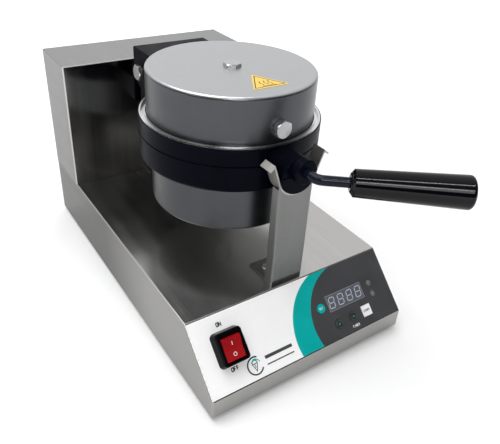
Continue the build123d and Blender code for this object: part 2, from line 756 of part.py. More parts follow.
def waffle_grooves(face_z, direction):
    """Two crossing sets of channels cut into a baking face."""
    with BuildSketch(Plane.XY.offset(face_z)) as grooves:
        count = int(2 * PLATE_RADIUS / GROOVE_PITCH)
        with Locations((0, IRON_Y)):
            with GridLocations(GROOVE_PITCH, 0, count, 1):
                Rectangle(GROOVE_WIDTH, 2 * PLATE_RADIUS)
            with GridLocations(0, GROOVE_PITCH, 1, count):
                Rectangle(2 * PLATE_RADIUS, GROOVE_WIDTH)
            Circle(PLATE_RADIUS, mode=Mode.INTERSECT)
    extrude(grooves.sketch, amount=direction * GROOVE_DEPTH, mode=Mode.SUBTRACT)


def clear_ring_zone(bottom):
    """Cut away what a boss leaves inside the ring, so that the ring's own section fills it."""
    with BuildSketch(iron_at(bottom)) as zone:
        Circle(COLLAR_CUT)
    extrude(zone.sketch, amount=100, mode=Mode.SUBTRACT)


def collar_profile():
    """Half of the round collar that rests in the cradle, from its front face into the ring."""
    with BuildSketch(Plane.XY.offset(SPLIT_Z)) as half:
        with BuildLine():
            Polyline(
                (0, COLLAR_FRONT),
                (COLLAR_RADIUS - COLLAR_CHAMFER, COLLAR_FRONT),
                (COLLAR_RADIUS, COLLAR_FRONT + COLLAR_CHAMFER),
                (COLLAR_RADIUS, COLLAR_BACK),
                (0, COLLAR_BACK),
                close=True,
            )
        make_face()
    revolve(half.sketch, axis=Axis((0, 0, SPLIT_Z), (0, 1, 0)))


with BuildPart() as lower_casting:
    collar_profile()
    split(bisect_by=Plane.XY.offset(lower_face), keep=Keep.BOTTOM)
    clear_ring_zone(SPLIT_Z - 50)
    with BuildSketch(iron_section):
        with BuildLine():
            Polyline(
                (RING_RADIUS - LOWER_ROUND, LOWER_RIM_Z),
                (LOWER_RIM_INNER, LOWER_RIM_Z),
                (LOWER_RIM_INNER, lower_back),
                (0, lower_back),
                (0, lower_face),
                (RING_RADIUS - RING_CHAMFER, lower_face),
                (RING_RADIUS, lower_face - RING_CHAMFER),
                (RING_RADIUS, LOWER_RIM_Z + LOWER_ROUND),
            )
            RadiusArc(
                (RING_RADIUS, LOWER_RIM_Z + LOWER_ROUND),
                (RING_RADIUS - LOWER_ROUND, LOWER_RIM_Z),
                LOWER_ROUND,
            )
        make_face()
    revolve(axis=Axis((0, IRON_Y, 0), (0, 0, 1)))
    waffle_grooves(lower_face, -1)
    # arm to the rear, the upright that the shaft is bolted to, and the hinge knuckle
    with BuildSketch(across.offset(-ARM_HALF)):
        with BuildLine():
            Polyline(
                (arm_front, ARM_BOTTOM_Z + 8),
                (arm_front, lower_face - 0.6),
                (REAR_WALL_Y, lower_face - 0.6),
                (REAR_WALL_Y, SPLIT_Z + FLANGE_RADIUS + 1),
                (flange_y, SPLIT_Z + FLANGE_RADIUS + 1),
                (flange_y, SPLIT_Z - FLANGE_RADIUS - 8),
                (arm_front + 30, ARM_BOTTOM_Z),
                close=True,
            )
        make_face()
    extrude(amount=2 * ARM_HALF)
    fillet(
        lower_casting.edges().filter_by(Axis.Z).filter_by(lambda e: e.center().Y > flange_y - 1),
        radius=4,
    )
    with BuildSketch(across.offset(-KNUCKLE_HALF_WIDTH)):
        with Locations((HINGE_Y, HINGE_Z)):
            Circle(KNUCKLE_RADIUS)
        with Locations((HINGE_Y, (HINGE_Z + 195) / 2)):
            Rectangle(2 * NECK_HALF, HINGE_Z - 195)
    extrude(amount=2 * KNUCKLE_HALF_WIDTH)
    with BuildSketch(across.offset(-KNUCKLE_HALF_WIDTH)):
        with Locations((HINGE_Y, HINGE_Z)):
            Circle(BOLT_RADIUS + EYE_WALL)
    extrude(amount=2 * KNUCKLE_HALF_WIDTH, mode=Mode.SUBTRACT)
    # threaded holes for the shaft bolts
    with BuildSketch(shaft_at(flange_y)):
        with PolarLocations(SHAFT_BOLT_CIRCLE, 4, 45):
            Circle(SHAFT_BOLT + PRESS_FIT)
    extrude(amount=REAR_WALL + 1, mode=Mode.SUBTRACT)
    # threaded hole for the bolt that holds the lower can
    with BuildSketch(iron_at(lower_back - LOWER_BOSS)):
        Circle(BOSS_RADIUS)
    extrude(amount=LOWER_BOSS + 1)
    with BuildSketch(iron_at(lower_back - LOWER_BOSS)):
        Circle(BOLT_RADIUS + BOLT_FIT)
    extrude(amount=LOWER_BOSS + 6, mode=Mode.SUBTRACT)
finish(lower_casting, "lower_casting")

# the lid's hinge block: its front hugs the ring and clears the can, its lower back is rounded about the pin
sweep_radius = 23.0
block_back = HINGE_Y + sweep_radius
block_top = HINGE_Z + HINGE_TOP
with BuildPart() as hinge_block:
    with BuildSketch(across.offset(-HINGE_HALF_WIDTH)):
        with BuildLine():
            Polyline(
                (HINGE_Y, HINGE_Z - sweep_radius),
                (BLOCK_STEP, HINGE_Z - sweep_radius),
                (BLOCK_STEP, upper_face),
                (BLOCK_FRONT, upper_face),
                (BLOCK_FRONT, block_top),
                (block_back, block_top),
                (block_back, HINGE_Z),
            )
            RadiusArc((block_back, HINGE_Z), (HINGE_Y, HINGE_Z - sweep_radius), sweep_radius)
        make_face()
    extrude(amount=2 * HINGE_HALF_WIDTH)
    fillet(hinge_block.edges().filter_by(Axis.X).group_by(Axis.Z)[-1].sort_by(Axis.Y)[-1], radius=2)
    fillet(hinge_block.edges().filter_by(Axis.Y).group_by(Axis.Z)[-1], radius=1.5)
    with BuildSketch(iron_at(upper_face)):
        Circle(RING_RADIUS - 0.5)
    extrude(amount=60, mode=Mode.SUBTRACT)
    # slot for the knuckle, open to the back and below, and the pin's bore
    with BuildSketch(across.offset(-KNUCKLE_HALF_WIDTH - SLOT_GAP)):
        with Locations((HINGE_Y - KNUCKLE_RADIUS - 2, HINGE_Z + KNUCKLE_RADIUS + 1)):
            Rectangle(60, 60, align=(Align.MIN, Align.MAX))
    extrude(amount=2 * (KNUCKLE_HALF_WIDTH + SLOT_GAP), mode=Mode.SUBTRACT)
    with BuildSketch(across.offset(-HINGE_HALF_WIDTH)):
        with Locations((HINGE_Y, HINGE_Z)):
            Circle(BOLT_RADIUS + BOLT_FIT)
    extrude(amount=2 * HINGE_HALF_WIDTH, mode=Mode.SUBTRACT)

with BuildPart() as upper_casting:
    # handle boss: the collar's quarter round on one side, the rod's boss on top
    with BuildSketch(Plane.XZ.offset(-COLLAR_FRONT)):
        with BuildLine():
            CenterArc((0, upper_face), COLLAR_RADIUS - SPLIT_GAP, 137, 43)
            CenterArc((0, HUB_Z), HUB_RADIUS, 0, 180)
            Line((COLLAR_RADIUS - SPLIT_GAP, upper_face), (COLLAR_RADIUS - SPLIT_GAP, upper_face + 2))
        make_hull()
    extrude(amount=COLLAR_FRONT - COLLAR_BACK)
    chamfer(upper_casting.faces().sort_by(Axis.Y)[0].edges(), length=COLLAR_CHAMFER)
    clear_ring_zone(SPLIT_Z - 50)
    with BuildSketch(iron_section):
        with BuildLine():
            Polyline(
                (0, upper_face),
                (RING_RADIUS - RING_CHAMFER, upper_face),
                (RING_RADIUS, upper_face + RING_CHAMFER),
                (RING_RADIUS, LID_RIM_Z - 0.6),
                (RING_RADIUS - RING_WALL, LID_RIM_Z - 0.6),
                (RING_RADIUS - RING_WALL, TRIM_FLOOR_Z),
                (CAN_SEAT, TRIM_FLOOR_Z),
                (CAN_SEAT, upper_back),
                (0, upper_back),
                close=True,
            )
        make_face()
    revolve(axis=Axis((0, IRON_Y, 0), (0, 0, 1)))
    waffle_grooves(upper_face, 1)
    # threaded boss for the centre bolt and upright lug for the side bolt
    with BuildSketch(iron_at(upper_back - 1)):
        Circle(BOSS_RADIUS)
    extrude(amount=UPPER_BOSS + 1)
    with BuildSketch(iron_at(upper_back - 1)):
        Circle(BOLT_RADIUS + BOLT_FIT)
    extrude(amount=UPPER_BOSS + 1, mode=Mode.SUBTRACT)
    with BuildSketch(iron_at(upper_back - 1)):
        with Locations((0, -71)):
            Rectangle(*LUG_SIZE)
    extrude(amount=LUG_HEIGHT + 1)
    with BuildSketch(facing_front(0, IRON_Y - 85, SIDE_BOLT_Z)):
        Circle(BOLT_RADIUS + BOLT_FIT)
    extrude(amount=-25, mode=Mode.SUBTRACT)
    add(hinge_block.part)
    # bore for the handle rod
    with BuildSketch(rod_at(COLLAR_FRONT)):
        Circle(ROD_RADIUS + PRESS_FIT)
    extrude(amount=-ROD_SOCKET - 4, mode=Mode.SUBTRACT)
finish(upper_casting, "upper_casting")

with BuildPart() as hinge_bush:
    with BuildSketch(across.offset(-KNUCKLE_HALF_WIDTH)):
        with Locations((HINGE_Y, HINGE_Z)):
            Circle(BOLT_RADIUS + EYE_WALL)
            Circle(BOLT_RADIUS + EYE_GAP, mode=Mode.SUBTRACT)
    extrude(amount=2 * KNUCKLE_HALF_WIDTH)
finish(hinge_bush, "hinge_bush")

# ---------------------------------------------------------------- cans, heaters and fasteners
HEAD = 6.4
LOW_HEAD = 3.2
HINGE_HEAD = 4.0
HEAD_SET_OFF = 3.0
LID_BOLT_TURN = -36.0
NUT = 8.0
HEAD_CHAMFER = 1.2
CAN_EDGE = 3.5
CAN_HOLE = 0.4
TRIM_LIP = 1.7
TRIM_INNER_LIP = 1.4
TRIM_SHEET = 1.2


def hex_head(place, height):
    """A chamfered hexagon head or nut blank standing on a plane."""
    with BuildSketch(place) as hexagon:
        RegularPolygon(BOLT_FLATS / 2, 6, major_radius=False)
    extrude(hexagon.sketch, amount=height)
    with BuildSketch(place) as round_limit:
        Circle(BOLT_FLATS / 2 + 1.15)
    cap = extrude(round_limit.sketch, amount=height, mode=Mode.PRIVATE)
    cap = cap.chamfer(HEAD_CHAMFER, None, cap.faces().sort_by(Axis(place.origin, place.z_dir))[-1].edges())
    add(cap, mode=Mode.INTERSECT)


head_x = -HINGE_HALF_WIDTH - HEAD_SET_OFF
hinge_left = Plane(origin=(head_x, HINGE_Y, HINGE_Z), x_dir=(0, 1, 0), z_dir=(-1, 0, 0))
hinge_right = Plane(origin=(HINGE_HALF_WIDTH, HINGE_Y, HINGE_Z), x_dir=(0, 1, 0), z_dir=(1, 0, 0))
with BuildPart() as hinge_bolt:
    hex_head(hinge_left, HINGE_HEAD)
    with BuildSketch(hinge_left):
        Circle(BOLT_RADIUS)
    extrude(amount=-(2 * HINGE_HALF_WIDTH + HEAD_SET_OFF + NUT + 2))
finish(hinge_bolt, "hinge_bolt")

with BuildPart() as hinge_nut:
    hex_head(hinge_right, NUT)
    with BuildSketch(hinge_right):
        Circle(BOLT_RADIUS + PRESS_FIT)
    extrude(amount=NUT, mode=Mode.SUBTRACT)
finish(hinge_nut, "hinge_nut")

with BuildPart() as lid_trim_ring:
    with BuildSketch(iron_section):
        outer = RING_RADIUS - RING_WALL - 0.05
        inner = CAN_SEAT + 0.4
        with BuildLine():
            Polyline(
                (inner, TRIM_FLOOR_Z),
                (outer, TRIM_FLOOR_Z),
                (outer, LID_RIM_Z),
                (outer - TRIM_LIP, LID_RIM_Z),
                (outer - TRIM_LIP, TRIM_FLOOR_Z + TRIM_SHEET),
                (inner + TRIM_INNER_LIP, TRIM_FLOOR_Z + TRIM_SHEET),
                (inner + TRIM_INNER_LIP, LID_RIM_Z),
                (inner, LID_RIM_Z),
                close=True,
            )
        make_face()
    revolve(axis=Axis((0, IRON_Y, 0), (0, 0, 1)))
finish(lid_trim_ring, "lid_trim_ring")

with BuildPart() as lid_can:
    with BuildSketch(iron_at(upper_back)):
        Circle(LID_CAN_RADIUS)
    extrude(amount=LID_TOP_Z - upper_back)
    fillet(lid_can.edges().group_by(Axis.Z)[-1], radius=CAN_EDGE)
    offset(amount=-SHEET, openings=lid_can.faces().sort_by(Axis.Z)[0])
    with BuildSketch(iron_at(LID_TOP_Z)):
        Circle(BOLT_RADIUS + CAN_HOLE)
    extrude(amount=-2 * SHEET, mode=Mode.SUBTRACT)
    with BuildSketch(facing_front(0, IRON_Y - LID_CAN_RADIUS - 1, SIDE_BOLT_Z)):
        Circle(BOLT_RADIUS + CAN_HOLE)
    extrude(amount=-6, mode=Mode.SUBTRACT)
finish(lid_can, "lid_can")

with BuildPart() as lower_can:
    with BuildSketch(iron_at(lower_back)):
        Circle(LOWER_CAN_RADIUS)
    extrude(amount=LOWER_BOTTOM_Z - lower_back)
    fillet(lower_can.edges().group_by(Axis.Z)[0], radius=CAN_EDGE)
    offset(amount=-SHEET, openings=lower_can.faces().sort_by(Axis.Z)[-1])
    with BuildSketch(iron_at(LOWER_BOTTOM_Z)):
        Circle(BOLT_RADIUS + CAN_HOLE)
    extrude(amount=2 * SHEET, mode=Mode.SUBTRACT)
finish(lower_can, "lower_can")

lid_top = iron_at(LID_TOP_Z).rotated((0, 0, LID_BOLT_TURN))
can_bottom = Plane(origin=(0, IRON_Y, LOWER_BOTTOM_Z), x_dir=(1, 0, 0), z_dir=(0, 0, -1))
can_front = Plane(
    origin=(0, IRON_Y - LID_CAN_RADIUS - 0.05, SIDE_BOLT_Z), x_dir=(0, 0, 1), z_dir=(0, -1, 0)
)
centre_bolts = (
    ("lid_centre_bolt", lid_top, LOW_HEAD, LID_TOP_Z - upper_back + 1),
    ("lower_centre_bolt", can_bottom, HEAD, lower_back - LOWER_BOTTOM_Z + 2),
    ("lid_side_bolt", can_front, HEAD, 28),
)
for bolt_name, seat, head, shank in centre_bolts:
    with BuildPart() as bolt:
        hex_head(seat, head)
        with BuildSketch(seat):
            Circle(BOLT_RADIUS)
        extrude(amount=-shank)
    finish(bolt, bolt_name)

HEATER_TUBE = 4.0
HEATER_RADIUS = 56.0
HEATER_ARC = -345.0
PIN_RADIUS = 2.2
PIN_LENGTH = 18.0
heaters = (
    ("upper_heater", upper_back + HEATER_TUBE, 1),
    ("lower_heater", lower_back - HEATER_TUBE, -1),
)
for heater_name, heater_z, away in heaters:
    with BuildPart() as heater:
        with BuildSketch(iron_section):
            with Locations((HEATER_RADIUS, heater_z)):
                Circle(HEATER_TUBE)
        revolve(axis=Axis((0, IRON_Y, 0), (0, 0, 1)), revolution_arc=HEATER_ARC)
        # terminal pins at the two ends of the open ring
        with BuildSketch(iron_at(heater_z)):
            with PolarLocations(HEATER_RADIUS, 2, angular_range=HEATER_ARC, endpoint=True):
                Circle(PIN_RADIUS)
        extrude(amount=away * PIN_LENGTH)
    finish(heater, heater_name)

BOARD_THICKNESS = 8.0
BOARD_GAP = 4.0
BOARD_RADIUS = 48.0
insulation_layers = (
    ("upper_insulation", upper_back + 2 * HEATER_TUBE + BOARD_GAP, BOARD_THICKNESS),
    ("lower_insulation", lower_back - 2 * HEATER_TUBE - BOARD_GAP, -BOARD_THICKNESS),
)
for layer_name, layer_z, thickness in insulation_layers:
    with BuildPart() as layer:
        with BuildSketch(iron_at(layer_z)):
            Circle(BOARD_RADIUS)
            Circle(BOSS_RADIUS + 1, mode=Mode.SUBTRACT)
        extrude(amount=thickness)
    finish(layer, layer_name)

PROBE_RADIUS = 3.0
with BuildPart() as temperature_probe:
    with BuildSketch(facing_front(-24, IRON_Y + 10, lower_back - PROBE_RADIUS)):
        Circle(PROBE_RADIUS)
    extrude(amount=-30)
finish(temperature_probe, "temperature_probe")

with BuildPart() as heater_leads:
    with BuildSketch(shaft_at(flange_y)):
        with PolarLocations(3.4, 4):
            Circle(2.0)
    extrude(amount=flange_y - SHAFT_END - 8)
finish(heater_leads, "heater_leads")

LABEL_SIDE = 42.0
LABEL_SPOT = (2.0, 127.7)
with BuildPart() as caution_label:
    with BuildSketch(Plane.XY.offset(LID_TOP_Z)):
        with Locations(LABEL_SPOT):
            RegularPolygon(LABEL_SIDE / (3 ** 0.5), 3, rotation=90)
        fillet(vertices(), radius=1.5)
    extrude(amount=0.2)
finish(caution_label, "caution_label")

# ---------------------------------------------------------------- handle
with BuildPart() as handle_hub:
    with BuildSketch(rod_at(COLLAR_FRONT)):
        Circle(HUB_RADIUS + 0.8)
    extrude(amount=COLLAR_FRONT - HUB_FRONT)
    fillet(handle_hub.edges().group_by(Axis.Y)[0], radius=1.5)
    with BuildSketch(rod_at(COLLAR_FRONT)):
        Circle(ROD_RADIUS + PRESS_FIT)
    extrude(amount=COLLAR_FRONT - HUB_FRONT, mode=Mode.SUBTRACT)
finish(handle_hub, "handle_hub")

handle_turn = radians(HANDLE_ANGLE)
handle_direction = Vector(cos(handle_turn), -sin(handle_turn), 0)
bend = Vector(0, BEND_Y, HUB_Z)
grip_inner = bend + handle_direction * GRIP_START
rod_end = bend + handle_direction * (GRIP_START + GRIP_BORE)
with BuildPart() as handle_rod:
    with BuildLine():
        FilletPolyline((0, COLLAR_FRONT + ROD_SOCKET, HUB_Z), bend, rod_end, radius=BEND_RADIUS)
    with BuildSketch(rod_at(COLLAR_FRONT + ROD_SOCKET)):
        Circle(ROD_RADIUS)
    sweep()
finish(handle_rod, "handle_rod")

grip_side = handle_direction.cross(Vector(0, 0, 1))
grip_section = Plane(origin=grip_inner, x_dir=handle_direction, z_dir=grip_side)
with BuildPart() as handle_grip:
    with BuildSketch(grip_section):
        with BuildLine():
            Polyline(
                (GRIP_LENGTH, 0),
                (0, 0),
                (0, GRIP_INNER_RADIUS - 2.5),
                (2, GRIP_INNER_RADIUS),
                (GRIP_LENGTH - 4, GRIP_OUTER_RADIUS),
            )
            RadiusArc((GRIP_LENGTH - 4, GRIP_OUTER_RADIUS), (GRIP_LENGTH, GRIP_OUTER_RADIUS - 4), 4)
            Line((GRIP_LENGTH, GRIP_OUTER_RADIUS - 4), (GRIP_LENGTH, 0))
        make_face()
    revolve(axis=Axis(grip_inner, handle_direction))
    with BuildSketch(Plane(origin=grip_inner, z_dir=handle_direction)):
        Circle(ROD_RADIUS + PRESS_FIT)
    extrude(amount=GRIP_BORE + 0.1, mode=Mode.SUBTRACT)
finish(handle_grip, "handle_grip")

# ---------------------------------------------------------------- export
# The row's origin is the middle of the whole machine's footprint, on the surface that it stands on.
whole = Compound(pieces).bounding_box()
to_origin = Location((-whole.center().X, -whole.center().Y, -whole.min.Z))
for piece in pieces:
    export_step(piece.moved(to_origin), f"parts/{piece.label}.step")
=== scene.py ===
import json
import math

import bmesh
import bpy
from mathutils import Matrix, Vector


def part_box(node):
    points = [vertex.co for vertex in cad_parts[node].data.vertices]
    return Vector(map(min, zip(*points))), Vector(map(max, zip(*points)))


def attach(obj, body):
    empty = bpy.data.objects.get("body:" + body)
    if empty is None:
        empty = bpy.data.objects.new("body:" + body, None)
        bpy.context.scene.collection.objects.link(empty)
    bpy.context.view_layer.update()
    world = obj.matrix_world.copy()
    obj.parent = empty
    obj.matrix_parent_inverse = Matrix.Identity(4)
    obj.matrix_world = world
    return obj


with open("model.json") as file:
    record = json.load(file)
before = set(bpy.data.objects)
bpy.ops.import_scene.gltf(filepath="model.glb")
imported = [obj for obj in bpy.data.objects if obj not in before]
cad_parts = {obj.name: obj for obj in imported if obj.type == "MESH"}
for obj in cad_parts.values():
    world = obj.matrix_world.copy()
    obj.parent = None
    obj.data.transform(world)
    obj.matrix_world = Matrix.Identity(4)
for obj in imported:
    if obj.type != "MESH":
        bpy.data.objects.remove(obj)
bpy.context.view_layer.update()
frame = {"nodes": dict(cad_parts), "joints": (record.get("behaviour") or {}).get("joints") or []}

MM = 0.001
RGBA_FACTOR, RGBA_FIRST, RGBA_SECOND, RGBA_RESULT = 0, 6, 7, 2  # a colour Mix node's sockets
scene = bpy.context.scene
nodes = frame["nodes"]
joints = {joint["name"]: joint for joint in frame["joints"]}


# ---------------------------------------------------------------- camera
CAMERA_PLACE = Vector((-0.3052, -0.4797, 0.4635))
CAMERA_HEADING, CAMERA_PITCH, CAMERA_ROLL = (math.radians(degrees) for degrees in (36.35, 32.12, 4.22))


def make_camera():
    """The camera at the photograph's viewing angle."""
    level_ahead = math.cos(CAMERA_PITCH)
    ahead = Vector((
        math.sin(CAMERA_HEADING) * level_ahead, math.cos(CAMERA_HEADING) * level_ahead, -math.sin(CAMERA_PITCH)
    ))
    level = Vector((math.cos(CAMERA_HEADING), -math.sin(CAMERA_HEADING), 0.0))
    upward = level.cross(ahead)
    right = level * math.cos(CAMERA_ROLL) + upward * math.sin(CAMERA_ROLL)
    up = upward * math.cos(CAMERA_ROLL) - level * math.sin(CAMERA_ROLL)
    data = bpy.data.cameras.new("camera")
    data.sensor_width = 36.0
    data.lens = 40.14
    data.shift_x = -0.0105
    data.shift_y = -0.0378
    data.clip_start = 0.01
    data.clip_end = 50.0
    camera = bpy.data.objects.new("camera", data)
    turn = Matrix((right, up, -ahead)).transposed().to_4x4()
    camera.matrix_world = Matrix.Translation(CAMERA_PLACE) @ turn
    scene.collection.objects.link(camera)
    scene.camera = camera


make_camera()
scene.view_settings.view_transform = "Standard"
scene.view_settings.look = "None"


# ---------------------------------------------------------------- surroundings and lights
BRIGHT_WAY = Vector((0.22, 0.72, 0.66)).normalized()
# brightness of the sky, from directly away from the bright way (0) to along it (1)
SKY_LEVELS = ((0.0, 0.03), (0.45, 0.05), (0.66, 0.40), (0.86, 0.90), (1.0, 1.0))
SKY_BLUE_GAIN = 1.01


def make_world():
    """Studio surroundings: bright behind and above, dim in front, and plain white to the camera."""
    world = bpy.data.worlds.new("studio")
    world.use_nodes = True
    scene.world = world
    tree = world.node_tree
    background = tree.nodes["Background"]
    direction = tree.nodes.new("ShaderNodeTexCoord")
    along = tree.nodes.new("ShaderNodeVectorMath")
    along.operation = "DOT_PRODUCT"
    along.inputs[1].default_value = BRIGHT_WAY
    tree.links.new(direction.outputs["Generated"], along.inputs[0])
    ramp = tree.nodes.new("ShaderNodeValToRGB")
    ramp.color_ramp.interpolation = "EASE"
    elements = ramp.color_ramp.elements
    while len(elements) < len(SKY_LEVELS):
        elements.new(0.5)
    for element, (position, level) in zip(elements, SKY_LEVELS):
        element.position = position
        element.color = (level, level, level * SKY_BLUE_GAIN, 1.0)
    spread = tree.nodes.new("ShaderNodeMapRange")
    spread.inputs["From Min"].default_value = -1.0
    tree.links.new(along.outputs["Value"], spread.inputs["Value"])
    tree.links.new(spread.outputs["Result"], ramp.inputs["Fac"])
    seen = tree.nodes.new("ShaderNodeLightPath")
    sky = tree.nodes.new("ShaderNodeMix")
    sky.data_type = "RGBA"
    sky.inputs[RGBA_SECOND].default_value = (1.0, 1.0, 1.0, 1.0)
    tree.links.new(seen.outputs["Is Camera Ray"], sky.inputs[RGBA_FACTOR])
    tree.links.new(ramp.outputs["Color"], sky.inputs[RGBA_FIRST])
    tree.links.new(sky.outputs[RGBA_RESULT], background.inputs["Color"])
    background.inputs["Strength"].default_value = 1.0


def make_light(name, place, target, size, power, only=()):
    """A rectangular soft box pointing at a spot, for everything or for a few nodes only."""
    data = bpy.data.lights.new(name, "AREA")
    data.shape = "RECTANGLE"
    data.size, data.size_y = size
    data.energy = power
    light = bpy.data.objects.new(name, data)
    light.location = place
    light.rotation_mode = "QUATERNION"
    light.rotation_quaternion = (Vector(target) - Vector(place)).to_track_quat("-Z", "Y")
    scene.collection.objects.link(light)
    if only:
        lit = bpy.data.collections.new(name + "_lit")
        for node in only:
            lit.objects.link(nodes[node])
        light.light_linking.receiver_collection = lit


MACHINE_MIDDLE, PANEL_MIDDLE, HANDLE_MIDDLE = (0.0, 0.0, 0.1), (0.0, -0.2, 0.05), (0.15, -0.25, 0.2)
HANDLE = ("handle_grip", "handle_rod", "handle_hub")
make_world()
make_light("top_box", (-0.35, 0.35, 1.9), MACHINE_MIDDLE, (1.7, 1.4), 23.0)
make_light("left_box", (-1.7, -0.5, 1.3), MACHINE_MIDDLE, (0.9, 1.3), 3.5)
make_light("front_box", (-0.9, -1.9, 1.5), PANEL_MIDDLE, (1.2, 0.9), 19.0)
make_light("high_strip", (0.05, -0.75, 1.55), HANDLE_MIDDLE, (1.5, 0.05), 9.0, HANDLE)
make_light("low_strip", (-0.35, -1.15, 1.05), HANDLE_MIDDLE, (1.3, 0.03), 5.0, HANDLE)


# ---------------------------------------------------------------- material building
WORN_FROM, WORN_FULLY = 0.58, 0.74  # pointiness of a convex corner
WALL_SHADE_FRONT, WALL_SHADE_BACK = -0.06, 0.07  # where painted shade on upright walls starts and stops getting darker towards the rear, in metres
# dims the grazing reflections of steel that carries painted shade on its walls
WALL_EDGE_TINT = 0.72


class Recipe:
    """One material: constant values on its shader, and short calls for nodes that vary over the surface."""

    def __init__(self, name, **values):
        self.material = bpy.data.materials.new(name)
        self.material.use_nodes = True
        self.tree = self.material.node_tree
        self.shader = self.tree.nodes["Principled BSDF"]
        for key, value in values.items():
            socket = self.shader.inputs[key.replace("_", " ")]
            socket.default_value = (*value, 1.0) if isinstance(value, tuple) and len(value) == 3 else value

    def add(self, kind, **settings):
        node = self.tree.nodes.new(kind)
        for key, value in settings.items():
            setattr(node, key, value)
        return node

    def feed(self, socket, value):
        """Link a socket to a node's output, or set its constant."""
        if isinstance(value, bpy.types.NodeSocket):
            self.tree.links.new(value, socket)
        else:
            socket.default_value = value

    def place(self, scale=(1.0, 1.0, 1.0), offset=(0.0, 0.0, 0.0)):
        """The piece's own coordinates in metres, stretched by a scale and moved by an offset."""
        mapping = self.add("ShaderNodeMapping")
        self.feed(mapping.inputs["Vector"], self.add("ShaderNodeTexCoord").outputs["Object"])
        mapping.inputs["Scale"].default_value = scale
        mapping.inputs["Location"].default_value = offset
        return mapping.outputs["Vector"]

    def split(self, vector):
        """A vector's X, Y and Z."""
        node = self.add("ShaderNodeSeparateXYZ")
        self.feed(node.inputs["Vector"], vector)
        return [node.outputs[axis] for axis in "XYZ"]

    def round_place(self, centre, scale):
        """Coordinates around an upright axis: angle, distance from the axis and height, each scaled."""
        x, y, z = self.split(self.place(offset=-centre))
        radius = self.math("SQRT", self.math("ADD", self.math("POWER", x, 2.0), self.math("POWER", y, 2.0)))
        angle = self.math("ARCTAN2", y, x)
        join = self.add("ShaderNodeCombineXYZ")
        for axis, value, stretch in zip("XYZ", (angle, radius, z), scale):
            self.feed(join.inputs[axis], self.math("MULTIPLY", value, stretch))
        return join.outputs["Vector"]

    def math(self, operation, first, second=0.0):
        node = self.add("ShaderNodeMath", operation=operation)
        self.feed(node.inputs[0], first)
        self.feed(node.inputs[1], second)
        return node.outputs[0]

    def noise(self, vector, scale=1.0, detail=3.0, roughness=0.55):
        node = self.add("ShaderNodeTexNoise")
        self.feed(node.inputs["Vector"], vector)
        node.inputs["Scale"].default_value = scale
        node.inputs["Detail"].default_value = detail
        node.inputs["Roughness"].default_value = roughness
        return node.outputs["Fac"]

    def remap(self, value, low, high, new_low, new_high):
        node = self.add("ShaderNodeMapRange")
        self.feed(node.inputs["Value"], value)
        for key, number in zip(("From Min", "From Max", "To Min", "To Max"), (low, high, new_low, new_high)):
            node.inputs[key].default_value = number
        return node.outputs["Result"]

    def blend(self, factor, first, second):
        """A colour between two colours."""
        node = self.add("ShaderNodeMix", data_type="RGBA")
        self.feed(node.inputs[RGBA_FACTOR], factor)
        for index, value in ((RGBA_FIRST, first), (RGBA_SECOND, second)):
            self.feed(node.inputs[index], value if isinstance(value, bpy.types.NodeSocket) else (*value, 1.0))
        return node.outputs[RGBA_RESULT]

    def bump(self, height, distance, strength=1.0, over=None):
        node = self.add("ShaderNodeBump")
        node.inputs["Strength"].default_value = strength
        node.inputs["Distance"].default_value = distance
        self.feed(node.inputs["Height"], height)
        if over is not None:
            self.feed(node.inputs["Normal"], over)
        return node.outputs["Normal"]

    def edges(self):
        """Where the surface turns a convex corner, from 0 to 1."""
        pointiness = self.add("ShaderNodeNewGeometry").outputs["Pointiness"]
        return self.remap(pointiness, WORN_FROM, WORN_FULLY, 0.0, 1.0)

    def upright(self):
        """How nearly the surface faces straight up or down, from 0 to 1."""
        height = self.split(self.add("ShaderNodeTexCoord").outputs["Normal"])[2]
        return self.math("ABSOLUTE", height)

    def out(self, key, value):
        self.feed(self.shader.inputs[key], value)


def shades(colour, *factors):
    """The colour, lighter or darker by each factor."""
    return [tuple(min(1.0, channel * factor) for channel in colour) for factor in factors]


def shaded_wall_tones(recipe, tone, colour, factor):
    """The grain of upright walls in a colour darkened by the factor, as painted shade."""
    return recipe.blend(tone, *shades(colour, factor * 0.92, factor * 1.08))


def brushed(name, colour, roughness, fine, broad, depth, vary, wall_shade=1.0, back_shade=1.0):
    """Sheet steel with a brushed grain, whose fine and broad streaks are stretched per metre.

    Upright walls get painted shade: darker by the wall_shade factor, and darker towards the rear by the
    back_shade factor as well.
    """
    edge = WALL_EDGE_TINT if wall_shade < 1.0 else 1.0
    recipe = Recipe(name, Metallic=1.0, Specular_Tint=(edge, edge, edge))
    streaks = recipe.noise(recipe.place(fine), 1.0, 2.0, 0.6)
    bands = recipe.noise(recipe.place(broad), 1.0, 3.0, 0.5)
    cloud = recipe.noise(recipe.place((9.0, 9.0, 9.0)), 1.0, 4.0, 0.6)
    dark, light = shades(colour, 1.0 - vary, 1.0 + vary)
    tone = recipe.math("ADD", recipe.math("MULTIPLY", streaks, 0.55), recipe.math("MULTIPLY", bands, 0.45))
    grain = recipe.blend(recipe.remap(tone, 0.35, 0.65, 0.0, 1.0), dark, light)
    # painted shade: upright walls darker than the top, and darker towards the rear
    if wall_shade < 1.0:
        shaded_sheet = shaded_wall_tones(recipe, tone, colour, wall_shade)
        if back_shade < 1.0:
            depth_in = recipe.split(recipe.place())[1]
            back_shade_fade = recipe.remap(depth_in, WALL_SHADE_FRONT, WALL_SHADE_BACK, 0.0, 1.0)
            shaded_sheet = recipe.blend(back_shade_fade, shaded_sheet, shaded_wall_tones(recipe, tone, colour, wall_shade * back_shade))
        # grain from here on holds the painted shade of the walls as well as the brushed grain
        grain = recipe.blend(recipe.upright(), shaded_sheet, grain)
    recipe.out("Base Color", grain)
    along_grain = recipe.remap(tone, 0.3, 0.7, -0.05, 0.05)
    patches = recipe.remap(cloud, 0.3, 0.7, -0.03, 0.03)
    recipe.out("Roughness", recipe.math("ADD", recipe.math("ADD", along_grain, patches), roughness))
    recipe.out("Normal", recipe.bump(streaks, depth))
    return recipe.material


